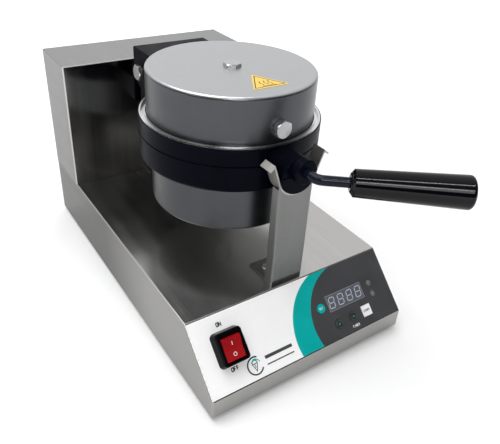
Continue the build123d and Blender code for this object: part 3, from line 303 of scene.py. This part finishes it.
def turned(name, colour, roughness, centre, scale, depth, vary, wall_shade=None):
    """Metal turned about an upright axis, with fine lines running round, and upright faces in a much darker
    colour as painted shade.
    """
    recipe = Recipe(name, Metallic=1.0)
    lines = recipe.noise(recipe.round_place(centre, scale), 1.0, 2.0, 0.6)
    cloud = recipe.noise(recipe.place((14.0, 14.0, 14.0)), 1.0, 4.0, 0.6)
    dark, light = shades(colour, 1.0 - vary, 1.0 + vary)
    tone = recipe.blend(recipe.remap(lines, 0.3, 0.7, 0.0, 1.0), dark, light)
    # painted shade: upright faces take the far darker wall_shade colour instead of the turned top's
    if wall_shade:
        sides = recipe.remap(recipe.upright(), 0.35, 0.75, 1.0, 0.0)
        wall_shade_tint = recipe.blend(recipe.remap(cloud, 0.3, 0.7, 0.0, 1.0), *shades(wall_shade, 0.9, 1.1))
        tone = recipe.blend(sides, tone, wall_shade_tint)
    recipe.out("Base Color", tone)
    along_lines = recipe.remap(lines, 0.3, 0.7, -0.012, 0.012)
    patches = recipe.remap(cloud, 0.3, 0.7, -0.04, 0.04)
    recipe.out("Roughness", recipe.math("ADD", recipe.math("ADD", along_lines, patches), roughness))
    recipe.out("Normal", recipe.bump(lines, depth))
    return recipe.material


def moulded(name, colour, roughness, grain, depth, vary, **values):
    """Plastic, paint, rubber or plain metal with a fine surface grain and slight smudges."""
    recipe = Recipe(name, **values)
    speckle = recipe.noise(recipe.place((grain, grain, grain)), 1.0, 2.0, 0.5)
    cloud = recipe.noise(recipe.place((45.0, 45.0, 45.0)), 1.0, 4.0, 0.6)
    dark, light = shades(colour, 1.0 - vary, 1.0 + vary)
    recipe.out("Base Color", recipe.blend(recipe.remap(cloud, 0.3, 0.7, 0.0, 1.0), dark, light))
    recipe.out("Roughness", recipe.remap(cloud, 0.3, 0.7, roughness * 0.85, min(1.0, roughness * 1.15)))
    recipe.out("Normal", recipe.bump(speckle, depth))
    return recipe.material


def cast(name, colour, roughness, worn):
    """A coated casting: a fine sandy skin, a little waviness, and corners worn paler."""
    recipe = Recipe(name, Metallic=0.0, Specular_IOR_Level=0.035, Specular_Tint=(0.80, 0.88, 1.0))
    sand = recipe.noise(recipe.place((1400.0, 1400.0, 1400.0)), 1.0, 3.0, 0.6)
    waves = recipe.noise(recipe.place((60.0, 60.0, 60.0)), 1.0, 3.0, 0.5)
    dark, light = shades(colour, 0.8, 1.25)
    skin = recipe.blend(recipe.remap(waves, 0.3, 0.7, 0.0, 1.0), dark, light)
    recipe.out("Base Color", recipe.blend(recipe.edges(), skin, worn))
    recipe.out("Roughness", recipe.remap(waves, 0.3, 0.7, roughness - 0.05, roughness + 0.07))
    recipe.out("Normal", recipe.bump(sand, 2.0e-5, 0.7, recipe.bump(waves, 1.2e-4, 0.5)))
    return recipe.material


# ---------------------------------------------------------------- the panel's own coordinates
FILM = 0.3 * MM
FOLD = 1.5 * MM
SINK = 0.03 * MM  # how far a mark's underside lies below the surface that carries it
inward = Vector(joints["set_press"]["axis"])
outward = -inward
across = Vector((1.0, 0.0, 0.0))
upslope = outward.cross(across)
film_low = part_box("panel_film_white")[0]
panel_origin = Vector((0.0, film_low.y - FILM * outward.y, film_low.z)) - upslope * FOLD


def frame_at(origin, *axes):
    """The placement whose origin and X, Y and Z axes are given."""
    return Matrix.Translation(origin) @ Matrix(axes).transposed().to_4x4()


def on_panel(x, s, lift=FILM):
    """A frame on the sloping panel: X across, Y up the slope, Z out of it, from millimetres."""
    origin = panel_origin + across * x * MM + upslope * s * MM + outward * (lift - SINK)
    return frame_at(origin, across, upslope, outward)


def panel_extent(node):
    """A node's lowest and highest panel coordinates (across, up the slope, out), in metres."""
    points = [vertex.co - panel_origin for vertex in nodes[node].data.vertices]
    spans = [[point.dot(way) for point in points] for way in (across, upslope, outward)]
    return Vector([min(span) for span in spans]), Vector([max(span) for span in spans])


def spot(node):
    """The middle of a panel control, in millimetres, and the height of its face in metres."""
    low, high = panel_extent(node)
    return (low.x + high.x) / 2 / MM, (low.y + high.y) / 2 / MM, high.z


# ---------------------------------------------------------------- materials
ring_low, ring_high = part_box("lid_trim_ring")
iron_centre = (ring_low + ring_high) / 2
iron_centre.z = 0.0
GRAIN_DEEP, BANDS_DEEP = (2600.0, 14.0, 2600.0), (90.0, 2.0, 90.0)  # streaks that run from front to back

# the last numbers of base_steel and tower_steel are painted shade: walls darker, and the base's walls darker
# towards the rear
base_steel = brushed("base_steel", (0.50, 0.495, 0.48), 0.22, GRAIN_DEEP, BANDS_DEEP, 1.0e-6, 0.05, 0.74, 0.38)
tower_steel = brushed("tower_steel", (0.40, 0.40, 0.395), 0.26, GRAIN_DEEP, BANDS_DEEP, 1.2e-6, 0.05, 0.62)
mirror_steel = brushed(
    "mirror_steel", (0.40, 0.39, 0.375), 0.13, (2600.0, 2600.0, 9.0), (120.0, 120.0, 2.0), 2e-6, 0.12
)
post_steel = brushed(
    "post_steel", (0.185, 0.19, 0.185), 0.30, (2600.0, 2600.0, 16.0), (120.0, 120.0, 4.0), 1.5e-6, 0.05
)
# painted light: the saddle's steel is made over twice as light as the post's steel it is welded to, standing in
# for light on its dim inner walls
saddle_steel = brushed(
    "saddle_steel", (0.42, 0.41, 0.39), 0.42, (16.0, 2600.0, 2600.0), (4.0, 120.0, 120.0), 2e-6, 0.12
)
# can_steel's last colour is painted shade for the cans' upright faces, far darker than their tops
can_steel = turned(
    "can_steel", (0.47, 0.475, 0.48), 0.31, iron_centre, (3.0, 260.0, 420.0), 1e-7, 0.025, (0.072, 0.075, 0.080)
)
trim_metal = turned("trim_metal", (0.72, 0.72, 0.72), 0.20, iron_centre, (2.0, 3200.0, 3200.0), 3e-6, 0.06)
casting = cast("casting", (0.0012, 0.0016, 0.0042), 0.34, (0.004, 0.005, 0.010))
zinc = moulded("zinc", (0.50, 0.505, 0.51), 0.26, 900.0, 6e-6, 0.10, Metallic=1.0)
rod_paint = moulded("rod_paint", (0.003, 0.004, 0.011), 0.16, 800.0, 3e-6, 0.2, Specular_IOR_Level=0.16)
grip_gloss = moulded("grip_gloss", (0.001, 0.001, 0.002), 0.09, 500.0, 2e-6, 0.2, Specular_IOR_Level=0.20)
black_gloss = moulded("black_gloss", (0.002, 0.002, 0.003), 0.24, 1500.0, 3e-6, 0.2, Specular_IOR_Level=0.06)
rocker_red = moulded(
    "rocker_red", (0.36, 0.006, 0.010), 0.16, 900.0, 3e-6, 0.15,
    Coat_Weight=0.6, Coat_Roughness=0.06, Subsurface_Weight=0.15, Subsurface_Scale=0.002,
)
film_white = moulded("film_white", (0.96, 0.96, 0.96), 0.42, 1800.0, 4e-6, 0.02)
film_teal = moulded("film_teal", (0.0, 0.395, 0.375), 0.40, 1800.0, 4e-6, 0.05, Specular_IOR_Level=0.2)
film_grey = moulded("film_grey", (0.048, 0.049, 0.053), 0.42, 1800.0, 4e-6, 0.08)
key_white = moulded("key_white", (0.95, 0.95, 0.95), 0.4, 1800.0, 4e-6, 0.03)
display_glass = moulded(
    "display_glass", (0.105, 0.115, 0.140), 0.16, 600.0, 2e-6, 0.10, Coat_Weight=0.5, Coat_Roughness=0.05
)
lamp_lens = moulded("lamp_lens", (0.17, 0.17, 0.175), 0.2, 900.0, 3e-6, 0.10, Coat_Weight=0.5)
rubber = moulded("rubber", (0.020, 0.020, 0.020), 0.75, 1200.0, 2e-5, 0.25)
polyamide = moulded("polyamide", (0.018, 0.018, 0.020), 0.5, 1200.0, 1e-5, 0.2)
board_green = moulded("board_green", (0.010, 0.110, 0.040), 0.35, 400.0, 8e-6, 0.25)
relay_blue = moulded("relay_blue", (0.030, 0.090, 0.330), 0.3, 900.0, 5e-6, 0.12)
terminal_cream = moulded("terminal_cream", (0.70, 0.66, 0.55), 0.5, 900.0, 8e-6, 0.10)
bronze = moulded("bronze", (0.50, 0.31, 0.13), 0.38, 900.0, 1e-5, 0.2, Metallic=1.0)
brass = moulded("brass", (0.62, 0.47, 0.18), 0.30, 900.0, 6e-6, 0.15, Metallic=1.0)
sheath = moulded("sheath", (0.30, 0.25, 0.21), 0.42, 300.0, 1e-5, 0.35, Metallic=1.0)
wool = moulded("wool", (0.70, 0.66, 0.56), 0.95, 500.0, 1.5e-4, 0.15)
silicone = moulded("silicone", (0.56, 0.54, 0.50), 0.6, 900.0, 8e-6, 0.12)
bracket_paint = moulded("bracket_paint", (0.09, 0.09, 0.095), 0.45, 700.0, 1.2e-5, 0.2)
label_yellow = moulded("label_yellow", (0.80, 0.53, 0.07), 0.4, 1500.0, 4e-6, 0.06)
ink_dark = moulded("ink_dark", (0.012, 0.011, 0.012), 0.5, 1500.0, 3e-6, 0.1)
ink_pale = moulded("ink_pale", (0.10, 0.30, 0.24), 0.5, 1500.0, 3e-6, 0.05)
ink_white = moulded("ink_white", (0.85, 0.85, 0.85), 0.5, 1500.0, 3e-6, 0.03)
ink_green = moulded("ink_green", (0.002, 0.012, 0.010), 0.4, 1500.0, 3e-6, 0.1)
display_rim = moulded("display_rim", (0.22, 0.225, 0.24), 0.3, 900.0, 4e-6, 0.08)
digit_grey = moulded("digit_grey", (0.46, 0.48, 0.53), 0.3, 900.0, 3e-6, 0.06)
# painted highlight: the pale colour of the lamp rings stands in for the glint on the lamps' domes
lamp_ring_glint = moulded("lamp_ring_glint", (0.15, 0.155, 0.16), 0.25, 900.0, 3e-6, 0.08)

node_materials = {
    base_steel: ("base_shell",),
    tower_steel: ("tower_cover", "tower_back_panel", "bottom_plate"),
    mirror_steel: ("tower_front_panel",),
    post_steel: ("cradle_post",),
    saddle_steel: ("cradle_saddle",),
    can_steel: ("lid_can", "lower_can"),
    trim_metal: ("lid_trim_ring",),
    casting: ("upper_casting", "lower_casting", "handle_hub"),
    zinc: (
        "foot_screws", "post_screws", "back_screws", "shaft_bolts", "shaft_nut", "pivot_shaft", "stop_arm",
        "lid_centre_bolt", "lid_side_bolt", "lower_centre_bolt", "hinge_bolt", "hinge_nut",
        "temperature_probe",
    ),
    rod_paint: ("handle_rod",),
    grip_gloss: ("handle_grip",),
    black_gloss: ("switch_housing", "key_switches"),
    rocker_red: ("switch_rocker",),
    film_white: ("panel_film_white",),
    film_teal: ("panel_film_teal", "set_key"),
    film_grey: ("panel_film_grey", "up_key", "down_key"),
    key_white: ("start_key",),
    display_glass: ("display_module",),
    lamp_lens: ("status_lamps",),
    rubber: ("rubber_feet",),
    polyamide: ("cord_gland", "gland_nut"),
    board_green: ("control_board",),
    relay_blue: ("power_relay",),
    terminal_cream: ("terminal_block",),
    bronze: ("bearing_bushes", "hinge_bush"),
    brass: ("board_standoffs",),
    sheath: ("upper_heater", "lower_heater"),
    wool: ("upper_insulation", "lower_insulation"),
    silicone: ("heater_leads",),
    bracket_paint: ("bearing_bracket", "bearing_housing", "control_transformer"),
    label_yellow: ("caution_label",),
}
for material, names in node_materials.items():
    for name in names:
        for material_slot in nodes[name].material_slots:
            material_slot.material = material

# ---------------------------------------------------------------- mesh building
PRINT = 0.12 * MM  # height of a printed mark
# each letter's strokes, one unit tall
LETTERS = {
    "O": ((
        (0.1, 0.0), (0.0, 0.2), (0.0, 0.8), (0.1, 1.0), (0.5, 1.0), (0.6, 0.8), (0.6, 0.2), (0.5, 0.0),
        (0.1, 0.0),
    ),),
    "N": (((0.0, 0.0), (0.0, 1.0), (0.6, 0.0), (0.6, 1.0)),),
    "F": (((0.0, 0.0), (0.0, 1.0), (0.55, 1.0)), ((0.0, 0.52), (0.45, 0.52))),
    "S": ((
        (0.0, 0.1), (0.15, 0.0), (0.5, 0.0), (0.6, 0.15), (0.6, 0.4), (0.0, 0.6), (0.0, 0.85), (0.1, 1.0),
        (0.45, 1.0), (0.6, 0.9),
    ),),
    "E": (((0.55, 0.0), (0.0, 0.0), (0.0, 1.0), (0.55, 1.0)), ((0.0, 0.52), (0.45, 0.52))),
    "T": (((0.0, 1.0), (0.6, 1.0)), ((0.3, 1.0), (0.3, 0.0))),
    "A": (((0.0, 0.0), (0.3, 1.0), (0.6, 0.0)), ((0.12, 0.36), (0.48, 0.36))),
    "R": (
        ((0.0, 0.0), (0.0, 1.0), (0.5, 1.0), (0.6, 0.85), (0.6, 0.65), (0.5, 0.5), (0.0, 0.5)),
        ((0.3, 0.5), (0.6, 0.0)),
    ),
    "I": (((0.3, 0.0), (0.3, 1.0)),),
    "M": (((0.0, 0.0), (0.0, 1.0), (0.3, 0.35), (0.6, 1.0), (0.6, 0.0)),),
}
LETTER_STEP = 0.85
LETTER_GAP = 0.25
MITRE_LIMIT = 0.35
SLAB_INSET = 0.1 * MM


def join_mesh(name, parts, material, body, smooth=False):
    """One piece from several (vertices, faces) lists, riding on a body."""
    mesh = bpy.data.meshes.new(name)
    vertices, faces = [], []
    for part_vertices, part_faces in parts:
        start = len(vertices)
        vertices += [tuple(vertex) for vertex in part_vertices]
        faces += [tuple(start + index for index in face) for face in part_faces]
    mesh.from_pydata(vertices, [], faces)
    editable = bmesh.new()
    editable.from_mesh(mesh)
    bmesh.ops.recalc_face_normals(editable, faces=editable.faces)
    editable.to_mesh(mesh)
    editable.free()
    mesh.materials.append(material)
    for polygon in mesh.polygons:
        polygon.use_smooth = smooth
    piece = bpy.data.objects.new(name, mesh)
    scene.collection.objects.link(piece)
    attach(piece, body)


def slab(outline, place, height):
    """A flat solid with an outline in the place's own X and Y, in metres, and a slightly smaller top."""
    count = len(outline)
    middle = sum((Vector(point) for point in outline), Vector((0.0, 0.0))) / count
    low = [place @ Vector((x, y, 0.0)) for x, y in outline]
    high = []
    for x, y in outline:
        inset = (Vector((x, y)) - middle).normalized() * min(height * 0.4, SLAB_INSET)
        high.append(place @ Vector((x - inset.x, y - inset.y, height)))
    faces = [tuple(range(count)), tuple(range(count, 2 * count))]
    faces += [(i, (i + 1) % count, count + (i + 1) % count, count + i) for i in range(count)]
    return low + high, faces


def stroke(path, width, place, height):
    """A thin raised line with mitred corners, along a path in metres."""
    points = [Vector(point) for point in path]
    closed = (points[0] - points[-1]).length < 1e-9
    if closed:
        points = points[:-1]
    count = len(points)
    left, right = [], []
    for i, point in enumerate(points):
        ways = []
        if i or closed:
            ways.append(point - points[i - 1])
        if i < count - 1 or closed:
            ways.append(points[(i + 1) % count] - point)
        ways = [way.normalized() for way in ways]
        normals = [Vector((-way.y, way.x)) for way in ways]
        normal = sum(normals, Vector((0.0, 0.0))).normalized()
        reach = width / 2 / max(MITRE_LIMIT, normal.dot(normals[0]))
        left.append(point + normal * reach)
        right.append(point - normal * reach)
    vertices = [place @ Vector((point.x, point.y, z)) for z in (0.0, height) for point in left + right]
    faces = []
    top = 2 * count
    for i in range(count if closed else count - 1):
        j = (i + 1) % count
        a, b, c, d = i, j, count + j, count + i
        faces += [(a, b, c, d), (top + d, top + c, top + b, top + a)]
        faces += [(a, b, top + b, top + a), (d, c, top + c, top + d)]
    if not closed:
        for i in (0, count - 1):
            faces.append((i, count + i, top + count + i, top + i))
    return vertices, faces


def millimetre_stroke(path, width, place, height=PRINT):
    """A stroke whose path and width are in millimetres."""
    return stroke([(x * MM, y * MM) for x, y in path], width * MM, place, height)


def word(text, height, width, place):
    """Plain capitals drawn with strokes, centred on the place's origin."""
    step = LETTER_STEP * height
    start = -(len(text) * step - LETTER_GAP * height) / 2
    parts = []
    for index, letter in enumerate(text):
        for path in LETTERS[letter]:
            spots = [(start + index * step + x * height, (y - 0.5) * height) for x, y in path]
            parts.append(stroke(spots, width, place, PRINT))
    return parts


def arc_points(radius, start, end, count, centre=(0.0, 0.0)):
    """Points round part of a circle, in degrees."""
    points = []
    for i in range(count + 1):
        angle = math.radians(start + (end - start) * i / count)
        points.append((centre[0] + radius * math.cos(angle), centre[1] + radius * math.sin(angle)))
    if abs(end - start) == 360:
        points[-1] = points[0]
    return points


def turned_part(profile, place, segments=48):
    """A closed profile of (radius, height) pairs revolved about the place's own Z."""
    count = len(profile)
    vertices, faces = [], []
    for i in range(segments):
        angle = 2 * math.pi * i / segments
        for radius, height in profile:
            vertices.append(place @ Vector((radius * math.cos(angle), radius * math.sin(angle), height)))
    for i in range(segments):
        j = (i + 1) % segments
        for k in range(count):
            m = (k + 1) % count
            faces.append((i * count + k, j * count + k, j * count + m, i * count + m))
    return vertices, faces


def bead(points, radius, sides=8):
    """A weld bead: a rippled tube along points, with tapered ends."""
    vertices, faces = [], []
    count = len(points)
    for i, point in enumerate(points):
        along = (points[min(i + 1, count - 1)] - points[max(i - 1, 0)]).normalized()
        side = along.orthogonal().normalized()
        other = along.cross(side)
        end = min(1.0, 0.35 + 0.65 * min(i, count - 1 - i) / 2)
        size = radius * end * (1.0 + 0.14 * math.cos(i * math.pi))
        for k in range(sides):
            angle = 2 * math.pi * k / sides
            vertices.append(point + side * math.cos(angle) * size + other * math.sin(angle) * size)
    for i in range(count - 1):
        for k in range(sides):
            m = (k + 1) % sides
            faces.append((i * sides + k, i * sides + m, (i + 1) * sides + m, (i + 1) * sides + k))
    faces += [tuple(range(sides)), tuple(range((count - 1) * sides, count * sides))]
    return vertices, faces


def facing(origin, way):
    """A placement whose Z points along a level way."""
    way = way.normalized()
    sideways = Vector((0.0, 0.0, 1.0)).cross(way).normalized()
    return frame_at(origin, sideways, way.cross(sideways), way)


# ---------------------------------------------------------------- marks by the power switch
# each word with its panel place, all in millimetres
SWITCH_WORDS = (("ON", -92.0, 65.8), ("OFF", -91.5, 20.6))
join_mesh("switch_words", [
    part for text, x, s in SWITCH_WORDS for part in word(text, 3.5 * MM, 1.0 * MM, on_panel(x, s))
], ink_dark, "base")

# the pictogram of a cone in an open ring, and two stripes beside it
CONE_X, CONE_S, CONE_R = -70.3, 14.6, 8.6
cone_spot = on_panel(CONE_X, CONE_S)
join_mesh("cone_badge_ring", [
    millimetre_stroke(path, width, cone_spot)
    for path, width in (
        (arc_points(CONE_R, 60, 330, 40), 1.5),
        (((-3.0, 2.0), (0.0, -5.4), (3.0, 2.0), (-3.0, 2.0)), 0.7),
        (((-1.4, 2.0), (1.2, -2.6)), 0.4),
        (((1.4, 2.0), (-1.2, -2.6)), 0.4),
    )
], ink_dark, "base")
join_mesh("cone_badge_scoop", [
    millimetre_stroke(arc_points(2.9, 0, 180, 16, (0.0, 2.6)), 1.3, cone_spot),
    millimetre_stroke(arc_points(CONE_R - 2.3, 95, 20, 12), 0.9, cone_spot),
], film_teal, "base")
STRIPE_START, STRIPE_END = -57.5, -24.0
join_mesh("cone_badge_stripes", [
    millimetre_stroke(((STRIPE_START, s), (STRIPE_END, s)), width, on_panel(0, 0))
    for s, width in ((17.8, 3.2), (10.6, 1.3))
], film_grey, "base")

# ---------------------------------------------------------------- marks on the keys' side of the panel
display_x, display_s, display_lift = spot("display_module")
TIMER_S = 6.2
for name, text, height, width, place, ink, body, slot_name in (
    ("timer_word", "TIMER", 2.4, 0.55, on_panel(display_x, TIMER_S), ink_white, "base", "film_white"),
    ("set_word", "SET", 2.0, 0.4, on_panel(*spot("set_key")), ink_white, "set_button", "film_white"),
    ("start_word", "START", 2.1, 0.5, on_panel(*spot("start_key")), ink_dark, "start_button", "film_grey"),
):
    join_mesh(name, word(text, height * MM, width * MM, place), ink, body)

TRIANGLE_HALF_WIDTH, TRIANGLE_HEIGHT = 4.1 * MM, 3.7 * MM
TRIANGLE = ((-1.0, -0.75), (1.0, -0.75), (0.0, 1.0))
TRIANGLE_MARK_SIZE = 0.36
for key, body, sign in (("up_key", "up_button", 1), ("down_key", "down_button", -1)):
    key_x, key_s, key_lift = spot(key)
    shape = [(TRIANGLE_HALF_WIDTH * x, sign * TRIANGLE_HEIGHT * y) for x, y in TRIANGLE]
    small = [(TRIANGLE_MARK_SIZE * x, TRIANGLE_MARK_SIZE * y) for x, y in shape]
    triangle = slab(shape, on_panel(key_x, key_s, key_lift), PRINT)
    mark = slab(small, on_panel(key_x, key_s, key_lift + PRINT), PRINT)
    join_mesh(key + "_triangle", [triangle], ink_green, body)
    join_mesh(key + "_mark", [mark], ink_pale, body)

# ---------------------------------------------------------------- display
# its raised frame and four unlit digits, in millimetres round the middle of the window
FRAME_HALF_WIDTH, FRAME_HALF_HEIGHT = 25.0, 8.6
FRAME_CORNERS = ((-1, -1), (1, -1), (1, 1), (-1, 1), (-1, -1))
DIGIT_COUNT, FIRST_DIGIT, DIGIT_STEP = 4, -19.0, 12.7
DIGIT_SCALE, DIGIT_SLANT = 0.92, 0.12
DIGIT_BARS = (
    ((-3.2, 6.2), (3.2, 6.2)), ((-3.2, 0.0), (3.2, 0.0)), ((-3.2, -6.2), (3.2, -6.2)),
    ((-3.9, 5.6), (-3.9, 0.6)), ((3.9, 5.6), (3.9, 0.6)),
    ((-3.9, -5.6), (-3.9, -0.6)), ((3.9, -5.6), (3.9, -0.6)),
)
display_place = on_panel(display_x, display_s, display_lift)
frame_path = [(FRAME_HALF_WIDTH * x, FRAME_HALF_HEIGHT * y) for x, y in FRAME_CORNERS]
join_mesh("display_frame", [
    millimetre_stroke(frame_path, 0.7, display_place, 0.25 * MM)
], display_rim, "base")
digit_parts = []
for index in range(DIGIT_COUNT):
    middle = FIRST_DIGIT + DIGIT_STEP * index
    for bar in DIGIT_BARS:
        ends = [(middle + DIGIT_SCALE * x + DIGIT_SLANT * y, DIGIT_SCALE * y) for x, y in bar]
        digit_parts.append(millimetre_stroke(ends, 1.1, display_place))
join_mesh("display_digits", digit_parts, digit_grey, "base")

# ---------------------------------------------------------------- rings round the two lamps, pale as a painted highlight on their domes
LAMP_RADIUS = 2.0 * MM
LAMP_RING = ((2.25, 0.0), (3.3, 0.0), (3.15, 0.35), (2.7, 0.55), (2.3, 0.4))  # radius, height in mm
lamp_low, lamp_high = panel_extent("status_lamps")
lamp_x = (lamp_low.x + lamp_high.x) / 2 / MM
lamp_ring = [(radius * MM, height * MM) for radius, height in LAMP_RING]
for index, lamp_s in enumerate((lamp_high.y - LAMP_RADIUS, lamp_low.y + LAMP_RADIUS)):
    ring = turned_part(lamp_ring, on_panel(lamp_x, lamp_s / MM), 32)
    join_mesh("lamp_ring_%d" % (index + 1), [ring], lamp_ring_glint, "base", True)

# ---------------------------------------------------------------- the rocker's I and O
# each on one half of its face, which is found by area because the mesh is cut into uneven triangles
FACING_OUT = 0.9
faces_up = [face for face in nodes["switch_rocker"].data.polygons if face.normal.dot(outward) > FACING_OUT]
rocker_area = sum(face.area for face in faces_up)
rocker_middle = sum(face.center.dot(upslope) * face.area for face in faces_up) / rocker_area
for upper, name, path, width in (
    (True, "rocker_on_mark", ((0.0, -1.8), (0.0, 1.8)), 0.6),
    (False, "rocker_off_mark", arc_points(1.65, 0, 360, 28), 0.5),
):
    half = [face for face in faces_up if (face.center.dot(upslope) > rocker_middle) == upper]
    area = sum(face.area for face in half)
    way = sum((face.normal * face.area for face in half), Vector()).normalized()
    centre = sum((face.center * face.area for face in half), Vector()) / area
    mark_place = frame_at(centre, across, way.cross(across), way)
    join_mesh(name, [millimetre_stroke(path, width, mark_place)], ink_white, "rocker")

# ---------------------------------------------------------------- border and heat strokes on the label
LABEL_PRINT = 0.04 * MM
LABEL_BORDER = ((-0.86, -0.84), (0.86, -0.84), (0.0, 0.80), (-0.86, -0.84))  # in half sizes of the label
WAVE_PLACES = (-5.0, 0.0, 5.0)
WAVE_START, WAVE_STEP, WAVE_WIDTH, WAVE_TURN = -11.0, 1.35, 0.9, 1.1
PLATE_Y, PLATE_HALF_WIDTH = -13.0, 8.0
label_low, label_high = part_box("caution_label")
label_middle = (label_low + label_high) / 2
label_place = Matrix.Translation(Vector((label_middle.x, label_middle.y, label_high.z)))
half_side = (label_high.x - label_low.x) / 2 / MM
half_tall = (label_high.y - label_low.y) / 2 / MM
label_vertices = nodes["caution_label"].data.vertices
beyond = sum(vertex.co.y > label_middle.y for vertex in label_vertices)
upright = 1 if beyond < len(label_vertices) / 2 else -1  # the triangle's point is at its less crowded end


def label_stroke(path, width):
    """A printed line on the label, in millimetres from its middle, the right way up for the triangle."""
    return millimetre_stroke([(x, upright * y) for x, y in path], width, label_place, LABEL_PRINT)


label_parts = [label_stroke([(x * half_side, y * half_tall) for x, y in LABEL_BORDER], 1.0)]
for x in WAVE_PLACES:
    wave = [(x + WAVE_WIDTH * math.sin(t * WAVE_TURN), WAVE_START + WAVE_STEP * t) for t in range(9)]
    label_parts.append(label_stroke(wave, 0.9))
label_parts.append(label_stroke(((-PLATE_HALF_WIDTH, PLATE_Y), (PLATE_HALF_WIDTH, PLATE_Y)), 1.0))
join_mesh("label_marks", label_parts, ink_dark, "lid")

# ---------------------------------------------------------------- thread at the hinge bolt's nut end
SHANK_RADIUS = 5.0 * MM
THREAD_PITCH = 1.25 * MM
THREAD_STOP = 0.2 * MM  # how far short of the shank's end the thread stays
THREAD_PROFILE = ((0.985, 0.0), (1.045, 0.4), (1.045, 0.6), (0.985, 1.0))  # in shank radii and pitches
hinge_low, hinge_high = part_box("hinge_bolt")
hinge_middle = (hinge_low + hinge_high) / 2
nut_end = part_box("hinge_nut")[1].x
thread_place = facing(Vector((nut_end, hinge_middle.y, hinge_middle.z)), across)
thread_rings = [
    turned_part([(SHANK_RADIUS * r, THREAD_PITCH * (turn + z)) for r, z in THREAD_PROFILE], thread_place, 32)
    for turn in range(int((hinge_high.x - nut_end - THREAD_STOP) / THREAD_PITCH))
]
join_mesh("hinge_bolt_thread", thread_rings, zinc, "lid")

# ---------------------------------------------------------------- weld beads from the saddle to its post
SADDLE_OUTSIDE = 22.9 * MM
WELD_STAND_OFF = 0.4 * MM
WELD_RADIUS = 1.1 * MM
WELD_SETBACK = 2.6 * MM  # behind the post's front edge
shaft_low, shaft_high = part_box("pivot_shaft")
shaft_z = (shaft_low.z + shaft_high.z) / 2
weld_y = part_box("cradle_post")[0].y + WELD_SETBACK
for name, start, end in (("left_weld", 214.0, 262.0), ("right_weld", 326.0, 278.0)):
    arc = arc_points(SADDLE_OUTSIDE + WELD_STAND_OFF, start, end, 24)
    route = [Vector((x, weld_y, shaft_z + z)) for x, z in arc]
    join_mesh(name, [bead(route, WELD_RADIUS)], zinc, "base", True)

# ---------------------------------------------------------------- ferrule where the rod enters the grip
GRIP_ANGLE = math.radians(37.4)  # turned from straight right towards the front
RIM_DEPTH = 0.05 * MM
# radius and height in millimetres
FERRULE = ((5.05, -1.6), (8.6, -1.6), (9.6, -0.9), (10.2, 0.0), (10.2, 0.3), (5.05, 0.3))
grip_low, grip_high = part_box("handle_grip")
grip_way = Vector((math.cos(GRIP_ANGLE), -math.sin(GRIP_ANGLE), 0.0))
grip_spots = [vertex.co for vertex in nodes["handle_grip"].data.vertices]
grip_start = min(place.dot(grip_way) for place in grip_spots)
grip_rim = [place for place in grip_spots if place.dot(grip_way) - grip_start < RIM_DEPTH]
rim_centre = sum(grip_rim, Vector()) / len(grip_rim)
rim_centre.z = (grip_low.z + grip_high.z) / 2
ferrule_profile = [(radius * MM, height * MM) for radius, height in FERRULE]
join_mesh("grip_ferrule", [
    turned_part(ferrule_profile, facing(rim_centre, grip_way), 64)
], grip_gloss, "lid", True)

# ---------------------------------------------------------------- floor
FLOOR_HALF = 8.0
GLOW_FROM, GLOW_TO = 0.35, 1.6  # distances from the machine between which the paper's painted light gets brighter
GLOW_NEAR, GLOW_FAR = 0.04, 0.75
# painted light: the floor paper glows faintly near the machine and more further off, standing in for a lit
# backdrop
floor_recipe = Recipe("floor_paper", Roughness=0.9, Emission_Color=(1.0, 1.0, 1.0))
away = floor_recipe.add("ShaderNodeVectorMath", operation="LENGTH")
floor_recipe.feed(away.inputs[0], floor_recipe.place())
painted_floor_glow = floor_recipe.remap(away.outputs["Value"], GLOW_FROM, GLOW_TO, GLOW_NEAR, GLOW_FAR)
floor_recipe.out("Emission Strength", painted_floor_glow)
floor_recipe.out("Base Color", floor_recipe.blend(
    floor_recipe.noise(floor_recipe.place((6.0, 6.0, 6.0))), (0.90, 0.90, 0.90), (0.92, 0.92, 0.92)
))
floor_mesh = bpy.data.meshes.new("floor")
floor_corners = [(FLOOR_HALF * x, FLOOR_HALF * y, 0.0) for x, y in ((-1, -1), (1, -1), (1, 1), (-1, 1))]
floor_mesh.from_pydata(floor_corners, [], [(0, 1, 2, 3)])
floor_mesh.materials.append(floor_recipe.material)
floor = bpy.data.objects.new("floor", floor_mesh)
scene.collection.objects.link(floor)

bpy.context.view_layer.update()
